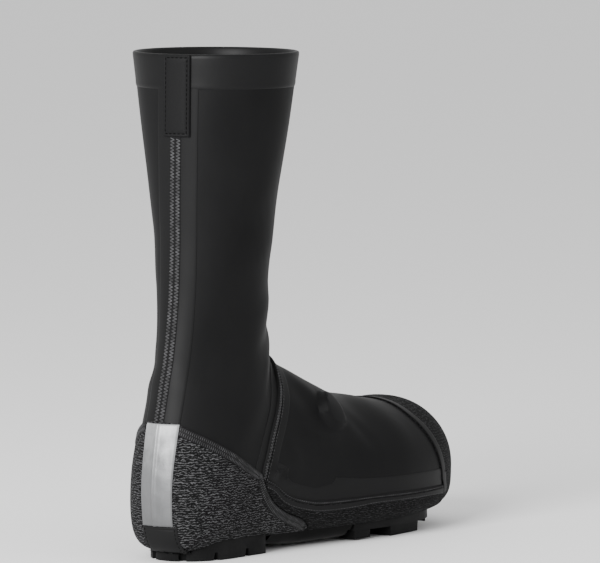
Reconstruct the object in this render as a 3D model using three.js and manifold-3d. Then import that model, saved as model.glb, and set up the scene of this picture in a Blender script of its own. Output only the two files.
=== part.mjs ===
// A cycling overshoe for the right foot, with the sole of the shoe that it is pulled over.
// The toe points along +Y, the outer side of the foot is +X, and the floor is z = 0.
// Lengths are in millimetres.
import * as THREE from "three";
import { mergeVertices } from "three/addons/utils/BufferGeometryUtils.js";
import Module from "manifold-3d";

const wasm = await Module();
wasm.setup();

// Driving dimensions of the cover's skin, without the pieces that are laid over it.
const SHOE_LENGTH = 296;
const BALL_WIDTH = 110;
const INSTEP_HEIGHT = 125; // floor to the crease in front of the ankle
const SOLE_HEIGHT = 12; // floor to the skin under the ball of the foot
const SHAFT_RISE = 198; // crease to collar
const ANKLE_WIDTH = 63;
const ANKLE_DEPTH = 84.5;
const COLLAR_WIDTH = 107.5;
const COLLAR_DEPTH = 104;

// Thicknesses of the pieces.
const WALL = 2.2; // skin of the upper
const GAP = 0.3; // between two pieces that touch
const CUFF_THICKNESS = 1;
const TAB_THICKNESS = 1.4;
const SEAM_THICKNESS = 1.2; // a taped flat seam
const ROPE_THICKNESS = 1.9; // the double seam over the instep
const KNIT_THICKNESS = 1.5; // heel counter, side band and toe cap
const STRIP_THICKNESS = 0.6; // reflective strip and heel patch
const STRIP_RIDGE = 0.7; // middle seam of the strip, above it
const STRAP_THICKNESS = 1.9;
const INSOLE_THICKNESS = 4;

// Widths and heights of the pieces laid over the skin.
const CUFF_HEIGHT = 22;
const TAB_WIDTH = 18.5;
const TAB_LENGTH = 52;
const BACK_SEAM_WIDTH = 6.5;
const ROPE_WIDTH = 5.4;
const SIDE_SEAM_WIDTH = 3.6;
const STRIP_WIDTH = 21.5;
const STRIP_SHIFT = 2.7; // middle of the strip, to the outer side
const STRIP_RIDGE_WIDTH = 3;
const PATCH_WIDTH = 24;
const PATCH_HEIGHT = 19;
const PATCH_SHIFT = 3.8;

// The closing dial of the shoe, which pushes the skin out on the outer side.
const DIAL_RADIUS = 13;
const DIAL_RISE = 2.6;

// The sole's treads and the openings that they come through.
const EDGE_INSET = 9; // skin's edge to the forefoot treads
const HEEL_INSET = 8; // skin's edge to the heel tread
const OPENING_CLEARANCE = 1.2;
const TREAD_BASE = 6.5; // floor to the base that the lugs stand on
const HEEL_GROOVE_WIDTH = 5;
const HEEL_GROOVE_DEPTH = 5;
const LUG_TAPER = 1.6; // each side of a lug draws in by this towards the floor

// Steps of the facets: angles round a section, and points of an outline.
const ANGLE_STEPS = 28;
const OUTLINE_STEPS = 14;
const NORMAL_STEP = 0.08;

// Turns rows of numbers into rows with named columns.
function table(columns, rows) {
  return rows.map((row) =>
    Object.fromEntries(columns.map((column, index) => [column, row[index]])),
  );
}

// Sections of the foot, from the toe round to the back of the heel. Each is a leaning ring
// from a point on top to a point underneath. Along and width are shares of the length and
// the ball width, top is a share of the instep height and under of the sole height. Rings
// is how many rings of facets there are up to the next section.
const FOOT_SECTIONS = table(
  [
    "topAlong", "top", "underAlong", "under", "width",
    "shift", "widest", "topRound", "underRound", "rings",
  ],
  [
    [0.997, 0.376, 0.997, 2.9, 0.145, -0.064, 0.45, 2.0, 2.3, 1],
    [0.993, 0.456, 0.992, 2.0, 0.42, -0.064, 0.4, 2.1, 3.0, 2],
    [0.975, 0.544, 0.97, 1.54, 0.636, -0.059, 0.38, 2.2, 3.8, 1],
    [0.94, 0.616, 0.93, 1.29, 0.791, -0.045, 0.36, 2.2, 4.8, 1],
    [0.883, 0.672, 0.867, 1.125, 0.909, -0.027, 0.34, 2.2, 5.6, 1],
    [0.807, 0.68, 0.783, 1.04, 0.982, -0.009, 0.33, 2.2, 6.0, 1],
    [0.707, 0.72, 0.687, 0.95, 1.0, 0, 0.32, 2.1, 6.0, 1],
    [0.613, 0.759, 0.587, 0.93, 0.927, 0.009, 0.32, 2.0, 6.0, 3],
    [0.527, 0.832, 0.487, 0.92, 0.818, 0.018, 0.34, 2.0, 6.0, 3],
    [0.447, 0.918, 0.373, 0.9, 0.727, 0.009, 0.36, 2.0, 6.0, 1],
    [0.395, 0.972, 0.247, 0.88, 0.682, 0, 0.4, 2.0, 5.0, 1],
    [0.375, 1.004, 0.12, 0.75, 0.655, 0, 0.46, 2.0, 4.0, 2],
    [0.37, 1.024, 0.027, 0.875, 0.655, 0, 0.5, 2.0, 2.9, 2],
    [0.367, 1.052, 0.002, 3.5, 0.655, 0, 0.5, 2.0, 2.25, 2],
  ],
);

// Sections of the shaft, from the ankle to the collar. Front and back are heights over the
// crease as shares of the shaft's rise, middle is a share of the length from the heel, and
// depth and width go from 0 at the ankle's size to 1 at the collar's.
const SHAFT_SECTIONS = table(
  ["front", "back", "middle", "depth", "width", "widest", "frontRound", "backRound", "rings"],
  [
    [0.056, -0.247, 0.189, 1.026, 0.11, 0.5, 2.0, 1.9, 2],
    [0.096, -0.096, 0.199, 0.615, 0.02, 0.52, 2.0, 1.85, 1],
    [0.162, 0.061, 0.208, 0.231, -0.03, 0.54, 2.0, 1.85, 1],
    [0.263, 0.222, 0.212, 0, 0, 0.54, 2.0, 2.0, 1],
    [0.429, 0.409, 0.214, 0, 0.19, 0.54, 2.1, 2.0, 1],
    [0.596, 0.586, 0.219, 0.26, 0.44, 0.53, 2.0, 2.0, 1],
    [0.783, 0.783, 0.2235, 0.65, 0.72, 0.52, 2.0, 2.0, 1],
    [1, 1, 0.2275, 1, 1, 0.51, 2.0, 2.0, 1],
  ],
);

const COLLAR_HEIGHT = INSTEP_HEIGHT + SHAFT_RISE;

// A distance forward from the back of the heel, as a y of the part's own frame.
function along(distance) {
  return distance - SHOE_LENGTH / 2;
}

function footSection(row) {
  return {
    topY: along(row.topAlong * SHOE_LENGTH),
    topZ: row.top * INSTEP_HEIGHT,
    underY: along(row.underAlong * SHOE_LENGTH),
    underZ: row.under * SOLE_HEIGHT,
    half: (row.width * BALL_WIDTH) / 2,
    shift: row.shift * BALL_WIDTH,
    widest: row.widest,
    topRound: row.topRound,
    underRound: row.underRound,
  };
}

function shaftSection(row) {
  const depth = THREE.MathUtils.lerp(ANKLE_DEPTH, COLLAR_DEPTH, row.depth);
  const width = THREE.MathUtils.lerp(ANKLE_WIDTH, COLLAR_WIDTH, row.width);
  const middle = along(row.middle * SHOE_LENGTH);
  return {
    topY: middle + depth / 2,
    topZ: INSTEP_HEIGHT + row.front * SHAFT_RISE,
    underY: middle - depth / 2,
    underZ: INSTEP_HEIGHT + row.back * SHAFT_RISE,
    half: width / 2,
    shift: 0,
    widest: row.widest,
    topRound: row.frontRound,
    underRound: row.backRound,
  };
}

const SECTIONS = [...FOOT_SECTIONS.map(footSection), ...SHAFT_SECTIONS.map(shaftSection)];
const LAST_SECTION = SECTIONS.length - 1;
const HEEL_SECTION = FOOT_SECTIONS.length - 1;

// The section at any station between two rows, on a smooth curve through all of them.
function sectionAt(station) {
  const clamped = THREE.MathUtils.clamp(station, 0, LAST_SECTION);
  const first = Math.min(Math.floor(clamped), LAST_SECTION - 1);
  const u = clamped - first;
  const rows = [first - 1, first, first + 1, first + 2].map(
    (index) => SECTIONS[THREE.MathUtils.clamp(index, 0, LAST_SECTION)],
  );
  const weights = [
    (-u + 2 * u * u - u * u * u) / 2,
    (2 - 5 * u * u + 3 * u * u * u) / 2,
    (u + 4 * u * u - 3 * u * u * u) / 2,
    (-u * u + u * u * u) / 2,
  ];
  return Object.fromEntries(
    Object.keys(rows[0]).map((key) => [
      key,
      rows.reduce((sum, row, index) => sum + weights[index] * row[key], 0),
    ]),
  );
}

// A point of the skin. The angle is 0 on top of the foot or in front of the leg, a quarter
// turn on the outer side, and a half turn underneath or at the back.
function skinPoint(station, angle) {
  const row = sectionAt(station);
  const towardsTop = Math.cos(angle) > 0;
  const round = towardsTop ? row.topRound : row.underRound;
  const across = Math.sign(Math.sin(angle)) * Math.abs(Math.sin(angle)) ** (2 / round);
  const upward = Math.abs(Math.cos(angle)) ** (2 / round);
  const middleY = THREE.MathUtils.lerp(row.underY, row.topY, row.widest);
  const middleZ = THREE.MathUtils.lerp(row.underZ, row.topZ, row.widest);
  return new THREE.Vector3(
    row.shift + row.half * across,
    THREE.MathUtils.lerp(middleY, towardsTop ? row.topY : row.underY, upward),
    THREE.MathUtils.lerp(middleZ, towardsTop ? row.topZ : row.underZ, upward),
  );
}

// How far the closing dial pushes the skin out, which fades to nothing at its radius.
const DIAL_ALONG = 0.5 * SHOE_LENGTH;
const DIAL_HEIGHT = 0.69 * INSTEP_HEIGHT;

function dialRise(point) {
  if (point.x < 0) return 0;
  const away = Math.hypot(point.y - along(DIAL_ALONG), point.z - DIAL_HEIGHT) / DIAL_RADIUS;
  return away < 1 ? DIAL_RISE * (1 - away * away) ** 2 : 0;
}

// A point at a distance outside the skin, or inside it where the offset is negative.
function upperPoint(station, angle, offset) {
  const lower = Math.max(station - NORMAL_STEP, 0);
  const upper = Math.min(station + NORMAL_STEP, LAST_SECTION);
  const lengthwise = skinPoint(upper, angle).sub(skinPoint(lower, angle));
  const around = skinPoint(station, angle + NORMAL_STEP).sub(
    skinPoint(station, angle - NORMAL_STEP),
  );
  const normal = lengthwise.cross(around).normalize();
  const point = skinPoint(station, angle);
  return point.addScaledVector(normal, offset + dialRise(point));
}

// A closed three.js geometry as a solid that can be joined and cut.
function solidOf(geometry) {
  const bare = geometry.clone();
  bare.deleteAttribute("normal");
  bare.deleteAttribute("uv");
  const merged = mergeVertices(bare, 1e-4);
  return new wasm.Manifold(
    new wasm.Mesh({
      numProp: 3,
      vertProperties: new Float32Array(merged.attributes.position.array),
      triVerts: new Uint32Array(merged.index.array),
    }),
  );
}

function geometryOf(solid) {
  const mesh = solid.getMesh();
  const geometry = new THREE.BufferGeometry();
  geometry.setAttribute("position", new THREE.BufferAttribute(mesh.vertProperties, 3));
  geometry.setIndex(new THREE.BufferAttribute(mesh.triVerts, 1));
  const faceted = geometry.toNonIndexed();
  faceted.computeVertexNormals();
  return faceted;
}

// A closed solid through rings of points that all have as many points, each going the same
// way round, with a flat fan over the first ring and the last.
function loftSolid(rings) {
  const count = rings[0].length;
  const points = rings.flat();
  const ends = [rings[0], rings[rings.length - 1]].map((ring) =>
    ring.reduce((sum, point) => sum.add(point), new THREE.Vector3()).divideScalar(count),
  );
  const firstEnd = points.push(ends[0]) - 1;
  const lastEnd = points.push(ends[1]) - 1;
  const faces = [];
  for (let j = 0; j < count; j += 1) {
    const next = (j + 1) % count;
    const lastRing = (rings.length - 1) * count;
    faces.push(firstEnd, j, next);
    faces.push(lastEnd, lastRing + next, lastRing + j);
    for (let i = 0; i + 1 < rings.length; i += 1) {
      const here = i * count;
      const there = here + count;
      faces.push(here + j, there + j, there + next);
      faces.push(here + j, there + next, here + next);
    }
  }
  const geometry = new THREE.BufferGeometry().setFromPoints(points);
  geometry.setIndex(faces);
  return solidOf(geometry);
}

// Stations of the rings of facets, from the toe to the collar.
const STATIONS = [...FOOT_SECTIONS, ...SHAFT_SECTIONS].flatMap(({ rings }, station) =>
  Array.from({ length: rings }, (_, part) => station + part / rings),
);

// The whole form at an offset from the skin, closed at the collar. Past the collar it goes
// straight up by the overshoot, for a form that has to cut the collar open.
const forms = new Map();

function form(offset, overshoot = 0) {
  const key = `${offset.toFixed(3)} ${overshoot}`;
  if (!forms.has(key)) {
    const rings = STATIONS.map((station) =>
      Array.from({ length: ANGLE_STEPS }, (_, index) =>
        upperPoint(station, (2 * Math.PI * index) / ANGLE_STEPS, offset),
      ),
    );
    rings[rings.length - 1].forEach((point) => point.setZ(COLLAR_HEIGHT));
    if (overshoot > 0) {
      rings.push(
        rings[rings.length - 1].map((point) => point.clone().setZ(COLLAR_HEIGHT + overshoot)),
      );
    }
    forms.set(key, loftSolid(rings));
  }
  return forms.get(key);
}

// The layer between two offsets, open at the collar.
const OVERSHOOT = 4;

function layer(inner, outer) {
  return form(outer).subtract(form(inner, OVERSHOOT));
}

// Cutting prisms. Each stands square to the view that its outline is drawn in.
const REACH = 2 * BALL_WIDTH;
const SIDE_VIEW = new THREE.Matrix4().makeBasis(
  new THREE.Vector3(0, 1, 0),
  new THREE.Vector3(0, 0, 1),
  new THREE.Vector3(1, 0, 0),
);
const BACK_VIEW = new THREE.Matrix4().makeBasis(
  new THREE.Vector3(1, 0, 0),
  new THREE.Vector3(0, 0, 1),
  new THREE.Vector3(0, -1, 0),
);

function prism(outline, depth) {
  const shape = new THREE.Shape(outline);
  return new THREE.ExtrudeGeometry(shape, { depth, bevelEnabled: false, steps: 1 });
}

// Outline points are (distance from the heel, height), and the prism goes through both sides.
function sidePrism(outline) {
  const moved = outline.map((point) => new THREE.Vector2(along(point.x), point.y));
  const geometry = prism(moved, 2 * REACH).translate(0, 0, -REACH);
  return solidOf(geometry.applyMatrix4(SIDE_VIEW));
}

// Outline points are (distance to the outer side, height), and the prism takes the back half.
function backPrism(outline) {
  const geometry = prism(outline, REACH).applyMatrix4(BACK_VIEW);
  return solidOf(geometry.translate(0, along(COLLAR_DEPTH / 2), 0));
}

function planPrism(outline, bottom, top) {
  return solidOf(prism(outline, top - bottom).translate(0, 0, bottom));
}

// Outline points from shares: along as a share of the length, height of the instep height.
function sharePoints(rows) {
  return rows.map(
    ([lengthShare, heightShare]) =>
      new THREE.Vector2(lengthShare * SHOE_LENGTH, heightShare * INSTEP_HEIGHT),
  );
}

// A smooth line through a few points, moved square to itself, to the left as it runs.
function smoothLine(points, moved = 0) {
  const curve = new THREE.SplineCurve(points);
  return Array.from({ length: OUTLINE_STEPS + 1 }, (_, step) => {
    const direction = curve.getTangent(step / OUTLINE_STEPS);
    const square = new THREE.Vector2(-direction.y, direction.x);
    return curve.getPoint(step / OUTLINE_STEPS).addScaledVector(square, moved);
  });
}

// A band of even width along such a line. The margin widens it and makes it longer.
function bandOutline(points, width, margin = 0) {
  const sides = [1, -1].map((side) => smoothLine(points, side * (width / 2 + margin)));
  const last = points.length - 1;
  const atStart = points[0].clone().sub(points[1]).setLength(margin);
  const atEnd = points[last].clone().sub(points[last - 1]).setLength(margin);
  for (const side of sides) {
    side[0].add(atStart);
    side[side.length - 1].add(atEnd);
  }
  return [...sides[0], ...sides[1].reverse()];
}

// Lines of the panels in the side view, as shares of the length and the instep height.
const INSTEP_LINE = sharePoints([
  [0.236, 0.39],
  [0.255, 0.5],
  [0.277, 0.61],
  [0.312, 0.73],
  [0.338, 0.82],
  [0.362, 0.93],
  [0.4, 1.06],
]);
const SIDE_LINE = sharePoints([
  [0.236, 0.39],
  [0.27, 0.355],
  [0.312, 0.29],
  [0.37, 0.25],
  [0.43, 0.232],
  [0.58, 0.232],
  [0.74, 0.228],
  [0.853, 0.226],
]);
const CAP_LINE = sharePoints([
  [0.8, 0.74],
  [0.787, 0.63],
  [0.8, 0.55],
  [0.825, 0.42],
  [0.847, 0.29],
  [0.862, 0.18],
  [0.874, 0],
]);
const COUNTER_TOP_LINE = sharePoints([
  [-0.05, 0.735],
  [0.024, 0.715],
  [0.053, 0.67],
  [0.104, 0.59],
  [0.15, 0.528],
  [0.2, 0.46],
  [0.226, 0.425],
]);
const COUNTER_FRONT_LINE = sharePoints([
  [0.226, 0.425],
  [0.235, 0.36],
  [0.26, 0.275],
  [0.305, 0.21],
  [0.37, 0.15],
  [0.44, 0.02],
]);
const BELOW_FLOOR = -0.2 * INSTEP_HEIGHT;

// Offsets of the layers over the skin.
const FIRST_LAYER = GAP;
const KNIT_OUTSIDE = FIRST_LAYER + KNIT_THICKNESS;
const SECOND_LAYER = KNIT_OUTSIDE + GAP;

// Middle of the foot's underside and half its width, at a distance from the heel.
function underside(distance) {
  let front = 0;
  let back = HEEL_SECTION - 1;
  while (back - front > 1e-4) {
    const middle = (front + back) / 2;
    if (sectionAt(middle).underY > along(distance)) front = middle;
    else back = middle;
  }
  const row = sectionAt(front);
  return { middle: row.shift, half: row.half };
}

// A point of a tread in plan. Share is 1 on the outer edge of the pad and -1 on the inner
// edge, and an end that has a length is elliptical.
function padPoint(pad, distance, share) {
  const { middle, half } = underside(distance);
  const behind = pad.backEnd ? 1 - (distance - pad.from) / pad.backEnd : 0;
  const ahead = pad.frontEnd ? 1 - (pad.to - distance) / pad.frontEnd : 0;
  const fromEnd = Math.max(behind, ahead, 0);
  const narrowed = Math.sqrt(Math.max(1 - fromEnd * fromEnd, 0.01));
  return new THREE.Vector2(middle + share * (half - pad.inset) * narrowed, along(distance));
}

// Outline of a pad, or of a part of it between two distances and two shares.
function padOutline(pad, { from = pad.from, to = pad.to, low = -1, high = 1 } = {}) {
  const edge = (share) =>
    Array.from({ length: OUTLINE_STEPS + 1 }, (_, step) => {
      const eased = (1 - Math.cos((Math.PI * step) / OUTLINE_STEPS)) / 2;
      return padPoint(pad, THREE.MathUtils.lerp(from, to, eased), share);
    });
  return [...edge(high), ...edge(low).reverse()];
}

// The heel tread and the forefoot treads, as shares of the length from the heel.
const HEEL_PAD = {
  from: 0.044 * SHOE_LENGTH,
  to: 0.272 * SHOE_LENGTH,
  inset: HEEL_INSET,
  backEnd: 0.12 * SHOE_LENGTH,
};
const FOREFOOT_PAD = {
  from: 0.55 * SHOE_LENGTH,
  to: 0.92 * SHOE_LENGTH,
  inset: EDGE_INSET,
  frontEnd: 0.1 * SHOE_LENGTH,
};

function openingOutline(pad) {
  return padOutline({
    ...pad,
    from: pad.from - OPENING_CLEARANCE,
    to: pad.to + OPENING_CLEARANCE,
    inset: pad.inset - OPENING_CLEARANCE,
  });
}

const INSIDE_SKIN = 2.2 * SOLE_HEIGHT; // a height inside the shoe, over the whole underside
const OPENINGS = [HEEL_PAD, FOREFOOT_PAD].map((pad) =>
  planPrism(openingOutline(pad), BELOW_FLOOR, INSIDE_SKIN),
);

function openedUnderneath(solid) {
  return OPENINGS.reduce((cut, opening) => cut.subtract(opening), solid);
}

// The upper: one stretchy skin, open at the collar and round the treads.
function upperSolid() {
  return openedUnderneath(layer(-WALL, 0));
}

// The tab stands over the seam at the back of the collar, leaning with it.
const TAB_TOP_SHIFT = 8.3;
const TAB_BOTTOM_SHIFT = 5.7;
const TAB_BOTTOM = COLLAR_HEIGHT - TAB_LENGTH;

function tabOutline(margin) {
  const half = TAB_WIDTH / 2 + margin;
  return [
    new THREE.Vector2(TAB_BOTTOM_SHIFT - half, TAB_BOTTOM - margin),
    new THREE.Vector2(TAB_BOTTOM_SHIFT + half, TAB_BOTTOM - margin),
    new THREE.Vector2(TAB_TOP_SHIFT + half, COLLAR_HEIGHT + OVERSHOOT),
    new THREE.Vector2(TAB_TOP_SHIFT - half, COLLAR_HEIGHT + OVERSHOOT),
  ];
}

function tabSolid() {
  return layer(FIRST_LAYER, FIRST_LAYER + TAB_THICKNESS).intersect(backPrism(tabOutline(0)));
}

// The cuff is a band round the collar, with its ends beside the tab.
const CUFF_END_GAP = 2;

function cuffSolid() {
  const bottom = COLLAR_HEIGHT - CUFF_HEIGHT;
  const far = 2 * SHOE_LENGTH;
  const band = sidePrism([
    new THREE.Vector2(-far, bottom),
    new THREE.Vector2(far, bottom),
    new THREE.Vector2(far, COLLAR_HEIGHT + OVERSHOOT),
    new THREE.Vector2(-far, COLLAR_HEIGHT + OVERSHOOT),
  ]);
  return layer(FIRST_LAYER, FIRST_LAYER + CUFF_THICKNESS)
    .intersect(band)
    .subtract(backPrism(tabOutline(CUFF_END_GAP)));
}

// The back seam runs from the tab down to the top of the knit heel counter. Its places are
// a share of the shaft's rise over the crease, and a share of the tab's shift.
const BACK_SEAM_LINE = [
  [0.745, 0.93],
  [0.53, 0.5],
  [0.27, 0.35],
  [0.03, 0.15],
  [-0.3, 0],
].map(
  ([rise, shift]) =>
    new THREE.Vector2(shift * TAB_BOTTOM_SHIFT, INSTEP_HEIGHT + rise * SHAFT_RISE),
);

function counterOutline(margin) {
  const top = smoothLine(COUNTER_TOP_LINE, margin);
  const front = smoothLine(COUNTER_FRONT_LINE, margin);
  return [
    new THREE.Vector2(-SHOE_LENGTH, BELOW_FLOOR),
    new THREE.Vector2(-SHOE_LENGTH, top[0].y),
    ...top,
    ...front,
    new THREE.Vector2(front[front.length - 1].x, BELOW_FLOOR),
  ];
}

function backSeamSolid() {
  const band = backPrism(bandOutline(BACK_SEAM_LINE, BACK_SEAM_WIDTH));
  return layer(FIRST_LAYER, FIRST_LAYER + SEAM_THICKNESS)
    .intersect(band)
    .subtract(backPrism(tabOutline(GAP)))
    .subtract(sidePrism(counterOutline(GAP)));
}

// The double seam goes from the side band up over the instep, on both sides.
function ropeOutline(margin) {
  return bandOutline(INSTEP_LINE, ROPE_WIDTH, margin);
}

function instepSeamSolid() {
  return layer(FIRST_LAYER, FIRST_LAYER + ROPE_THICKNESS)
    .intersect(sidePrism(ropeOutline(0)))
    .subtract(sidePrism(counterOutline(GAP)));
}

// The toe cap is all that lies in front of its line.
function capOutline(margin) {
  const line = smoothLine(CAP_LINE, -margin);
  return [
    new THREE.Vector2(line[line.length - 1].x, BELOW_FLOOR),
    new THREE.Vector2(2 * SHOE_LENGTH, BELOW_FLOOR),
    new THREE.Vector2(2 * SHOE_LENGTH, INSTEP_HEIGHT),
    new THREE.Vector2(line[0].x, INSTEP_HEIGHT),
    ...line,
  ];
}

function toeCapSolid() {
  const cap = layer(FIRST_LAYER, KNIT_OUTSIDE).intersect(sidePrism(capOutline(0)));
  return openedUnderneath(cap);
}

// The seam between the skin and the side band, with one run on each side of the foot.
function sideSeamSolid(side) {
  const half = planPrism(
    [
      new THREE.Vector2(0, -SHOE_LENGTH),
      new THREE.Vector2(side * REACH, -SHOE_LENGTH),
      new THREE.Vector2(side * REACH, SHOE_LENGTH),
      new THREE.Vector2(0, SHOE_LENGTH),
    ],
    BELOW_FLOOR,
    COLLAR_HEIGHT,
  );
  return layer(FIRST_LAYER, FIRST_LAYER + SEAM_THICKNESS)
    .intersect(sidePrism(bandOutline(SIDE_LINE, SIDE_SEAM_WIDTH)))
    .intersect(half)
    .subtract(sidePrism(ropeOutline(GAP)))
    .subtract(sidePrism(counterOutline(GAP)))
    .subtract(sidePrism(capOutline(GAP)));
}

// The side band goes from its seam down round the edge of the sole, up to the openings.
function sideBandSolid() {
  const top = smoothLine(SIDE_LINE);
  const outline = [
    new THREE.Vector2(top[0].x, BELOW_FLOOR),
    ...top,
    new THREE.Vector2(SHOE_LENGTH, top[top.length - 1].y),
    new THREE.Vector2(SHOE_LENGTH, BELOW_FLOOR),
  ];
  const band = layer(FIRST_LAYER, KNIT_OUTSIDE)
    .intersect(sidePrism(outline))
    .subtract(sidePrism(bandOutline(SIDE_LINE, SIDE_SEAM_WIDTH, GAP)))
    .subtract(sidePrism(ropeOutline(GAP)))
    .subtract(sidePrism(counterOutline(GAP)))
    .subtract(sidePrism(capOutline(GAP)));
  return openedUnderneath(band);
}

// The heel counter is a coarse knit panel that goes round the heel and under it.
function heelCounterSolid() {
  const panel = layer(FIRST_LAYER, KNIT_OUTSIDE).intersect(sidePrism(counterOutline(0)));
  return openedUnderneath(panel);
}

// The reflective strip stands at the back of the counter, and the patch lies below it.
const STRIP_TOP = 0.705 * INSTEP_HEIGHT;
const STRIP_BOTTOM = 0.192 * INSTEP_HEIGHT;

function backBand(width, shift, bottom, top) {
  return backPrism([
    new THREE.Vector2(shift - width / 2, bottom),
    new THREE.Vector2(shift + width / 2, bottom),
    new THREE.Vector2(shift + width / 2, top),
    new THREE.Vector2(shift - width / 2, top),
  ]);
}

function behindHeel(solid) {
  const reach = along(HEEL_PAD.from - OPENING_CLEARANCE);
  return solid.intersect(
    planPrism(
      [
        new THREE.Vector2(-REACH, -SHOE_LENGTH),
        new THREE.Vector2(REACH, -SHOE_LENGTH),
        new THREE.Vector2(REACH, reach),
        new THREE.Vector2(-REACH, reach),
      ],
      BELOW_FLOOR,
      COLLAR_HEIGHT,
    ),
  );
}

function reflectiveStripSolid() {
  const outside = SECOND_LAYER + STRIP_THICKNESS;
  const strip = layer(SECOND_LAYER, outside).intersect(
    backBand(STRIP_WIDTH, STRIP_SHIFT, STRIP_BOTTOM, STRIP_TOP),
  );
  const ridge = layer(SECOND_LAYER, outside + STRIP_RIDGE).intersect(
    backBand(STRIP_RIDGE_WIDTH, STRIP_SHIFT, STRIP_BOTTOM, STRIP_TOP),
  );
  return behindHeel(strip.add(ridge));
}

function heelPatchSolid() {
  const top = STRIP_BOTTOM - GAP;
  const patch = layer(SECOND_LAYER, SECOND_LAYER + STRIP_THICKNESS).intersect(
    backBand(PATCH_WIDTH, PATCH_SHIFT, top - PATCH_HEIGHT, top),
  );
  return behindHeel(patch);
}

// The sole plate fills the bottom of the skin up to the footbed, whose line has the heel's
// lift, the arch and the toe spring. The insole lies on it.
const FOOTBED_LINE = sharePoints([
  [-0.02, 0.19],
  [0.13, 0.186],
  [0.25, 0.182],
  [0.37, 0.178],
  [0.49, 0.164],
  [0.6, 0.152],
  [0.7, 0.151],
  [0.8, 0.162],
  [0.88, 0.187],
  [0.95, 0.228],
  [1.02, 0.285],
]);

function footbedSlab(bottom, top) {
  const line = smoothLine(FOOTBED_LINE);
  const lower = line.map((point) =>
    bottom === null
      ? new THREE.Vector2(point.x, BELOW_FLOOR)
      : new THREE.Vector2(point.x, point.y + bottom),
  );
  const upper = line.map((point) => new THREE.Vector2(point.x, point.y + top));
  const lowerEnds = bottom === null ? [lower[0], lower[lower.length - 1]] : lower;
  return sidePrism([...lowerEnds, ...upper.reverse()]);
}

function solePlateSolid() {
  return form(-WALL - GAP).intersect(footbedSlab(null, 0));
}

function insoleSolid() {
  return form(-WALL - GAP).intersect(footbedSlab(GAP, GAP + INSOLE_THICKNESS));
}

// A lug: a block that draws in towards the floor on all its sides. Its outline goes
// clockwise, seen from above.
function lugSolid(outline, bottom, top) {
  const centre = outline
    .reduce((sum, point) => sum.add(point), new THREE.Vector2())
    .divideScalar(outline.length);
  const ring = (height, drawnIn) =>
    outline.map((point) => {
      const away = point.clone().sub(centre);
      const kept = Math.max(away.length() - drawnIn, 0);
      const drawn = away.setLength(kept).add(centre);
      return new THREE.Vector3(drawn.x, drawn.y, height);
    });
  return loftSolid([ring(bottom, LUG_TAPER), ring(top, 0)]);
}

// Everything of a tread stops at the plate, which lies just inside the skin.
function underPlate(solid) {
  return solid.subtract(form(-WALL));
}

function heelTreadSolid() {
  let tread = planPrism(padOutline(HEEL_PAD), 0, INSIDE_SKIN);
  const grooveHalf = HEEL_GROOVE_WIDTH / 2;
  const grooves = [0.115, 0.21].map((share) => share * SHOE_LENGTH);
  for (const groove of grooves) {
    const notch = sidePrism([
      new THREE.Vector2(groove - grooveHalf, -1),
      new THREE.Vector2(groove + grooveHalf, -1),
      new THREE.Vector2(groove + grooveHalf / 2, HEEL_GROOVE_DEPTH),
      new THREE.Vector2(groove - grooveHalf / 2, HEEL_GROOVE_DEPTH),
    ]);
    tread = tread.subtract(notch);
  }
  // A groove down the middle of the tread, and two short ones at the back of the heel.
  const middleHalf = HEEL_GROOVE_WIDTH;
  const backEnd = along(HEEL_PAD.from + 0.2 * HEEL_PAD.to);
  tread = tread.subtract(
    planPrism(
      [
        new THREE.Vector2(-middleHalf, backEnd),
        new THREE.Vector2(middleHalf, backEnd),
        new THREE.Vector2(middleHalf, along(HEEL_PAD.to) + 1),
        new THREE.Vector2(-middleHalf, along(HEEL_PAD.to) + 1),
      ],
      -1,
      HEEL_GROOVE_DEPTH,
    ),
  );
  for (const side of [-1, 1]) {
    const turn = new THREE.Matrix4().makeRotationZ((side * 27 * Math.PI) / 180);
    const notch = prism(
      [
        new THREE.Vector2(-grooveHalf, -HEEL_PAD.to),
        new THREE.Vector2(grooveHalf, -HEEL_PAD.to),
        new THREE.Vector2(grooveHalf, -0.07 * SHOE_LENGTH),
        new THREE.Vector2(-grooveHalf, -0.07 * SHOE_LENGTH),
      ],
      HEEL_GROOVE_DEPTH + 1,
    )
      .applyMatrix4(turn)
      .translate(0, along(0.13 * SHOE_LENGTH), -1);
    tread = tread.subtract(solidOf(notch));
  }
  return underPlate(tread);
}

// Lugs of the forefoot: from and to are shares of the length, inside is the share of the
// half width where the lug starts, and lift is its height over the floor as a share of the
// sole height. The toe spring lifts the lugs in front.
const FOREFOOT_LUGS = table(
  ["from", "to", "inside", "lift"],
  [
    [0.553, 0.607, 0.42, 0.08],
    [0.668, 0.79, 0.46, 0],
    [0.828, 0.875, 0.4, 0.38],
  ],
);
const CHANNEL = 0.3; // half of the cleat's channel, as a share of the half width

function forefootTreadSolid(side) {
  const sides = (inside) => (side > 0 ? { low: inside, high: 1 } : { low: -1, high: -inside });
  const base = padOutline(FOREFOOT_PAD, sides(CHANNEL));
  let tread = planPrism(base, TREAD_BASE, INSIDE_SKIN);
  for (const lug of FOREFOOT_LUGS) {
    const { low, high } = sides(lug.inside);
    const from = lug.from * SHOE_LENGTH;
    const to = lug.to * SHOE_LENGTH;
    const outline = [
      padPoint(FOREFOOT_PAD, from, low),
      padPoint(FOREFOOT_PAD, to, low),
      padPoint(FOREFOOT_PAD, to, high),
      padPoint(FOREFOOT_PAD, (from + to) / 2, high),
      padPoint(FOREFOOT_PAD, from, high),
    ];
    tread = tread.add(lugSolid(outline, lug.lift * SOLE_HEIGHT, INSIDE_SKIN));
  }
  return underPlate(tread);
}

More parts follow.
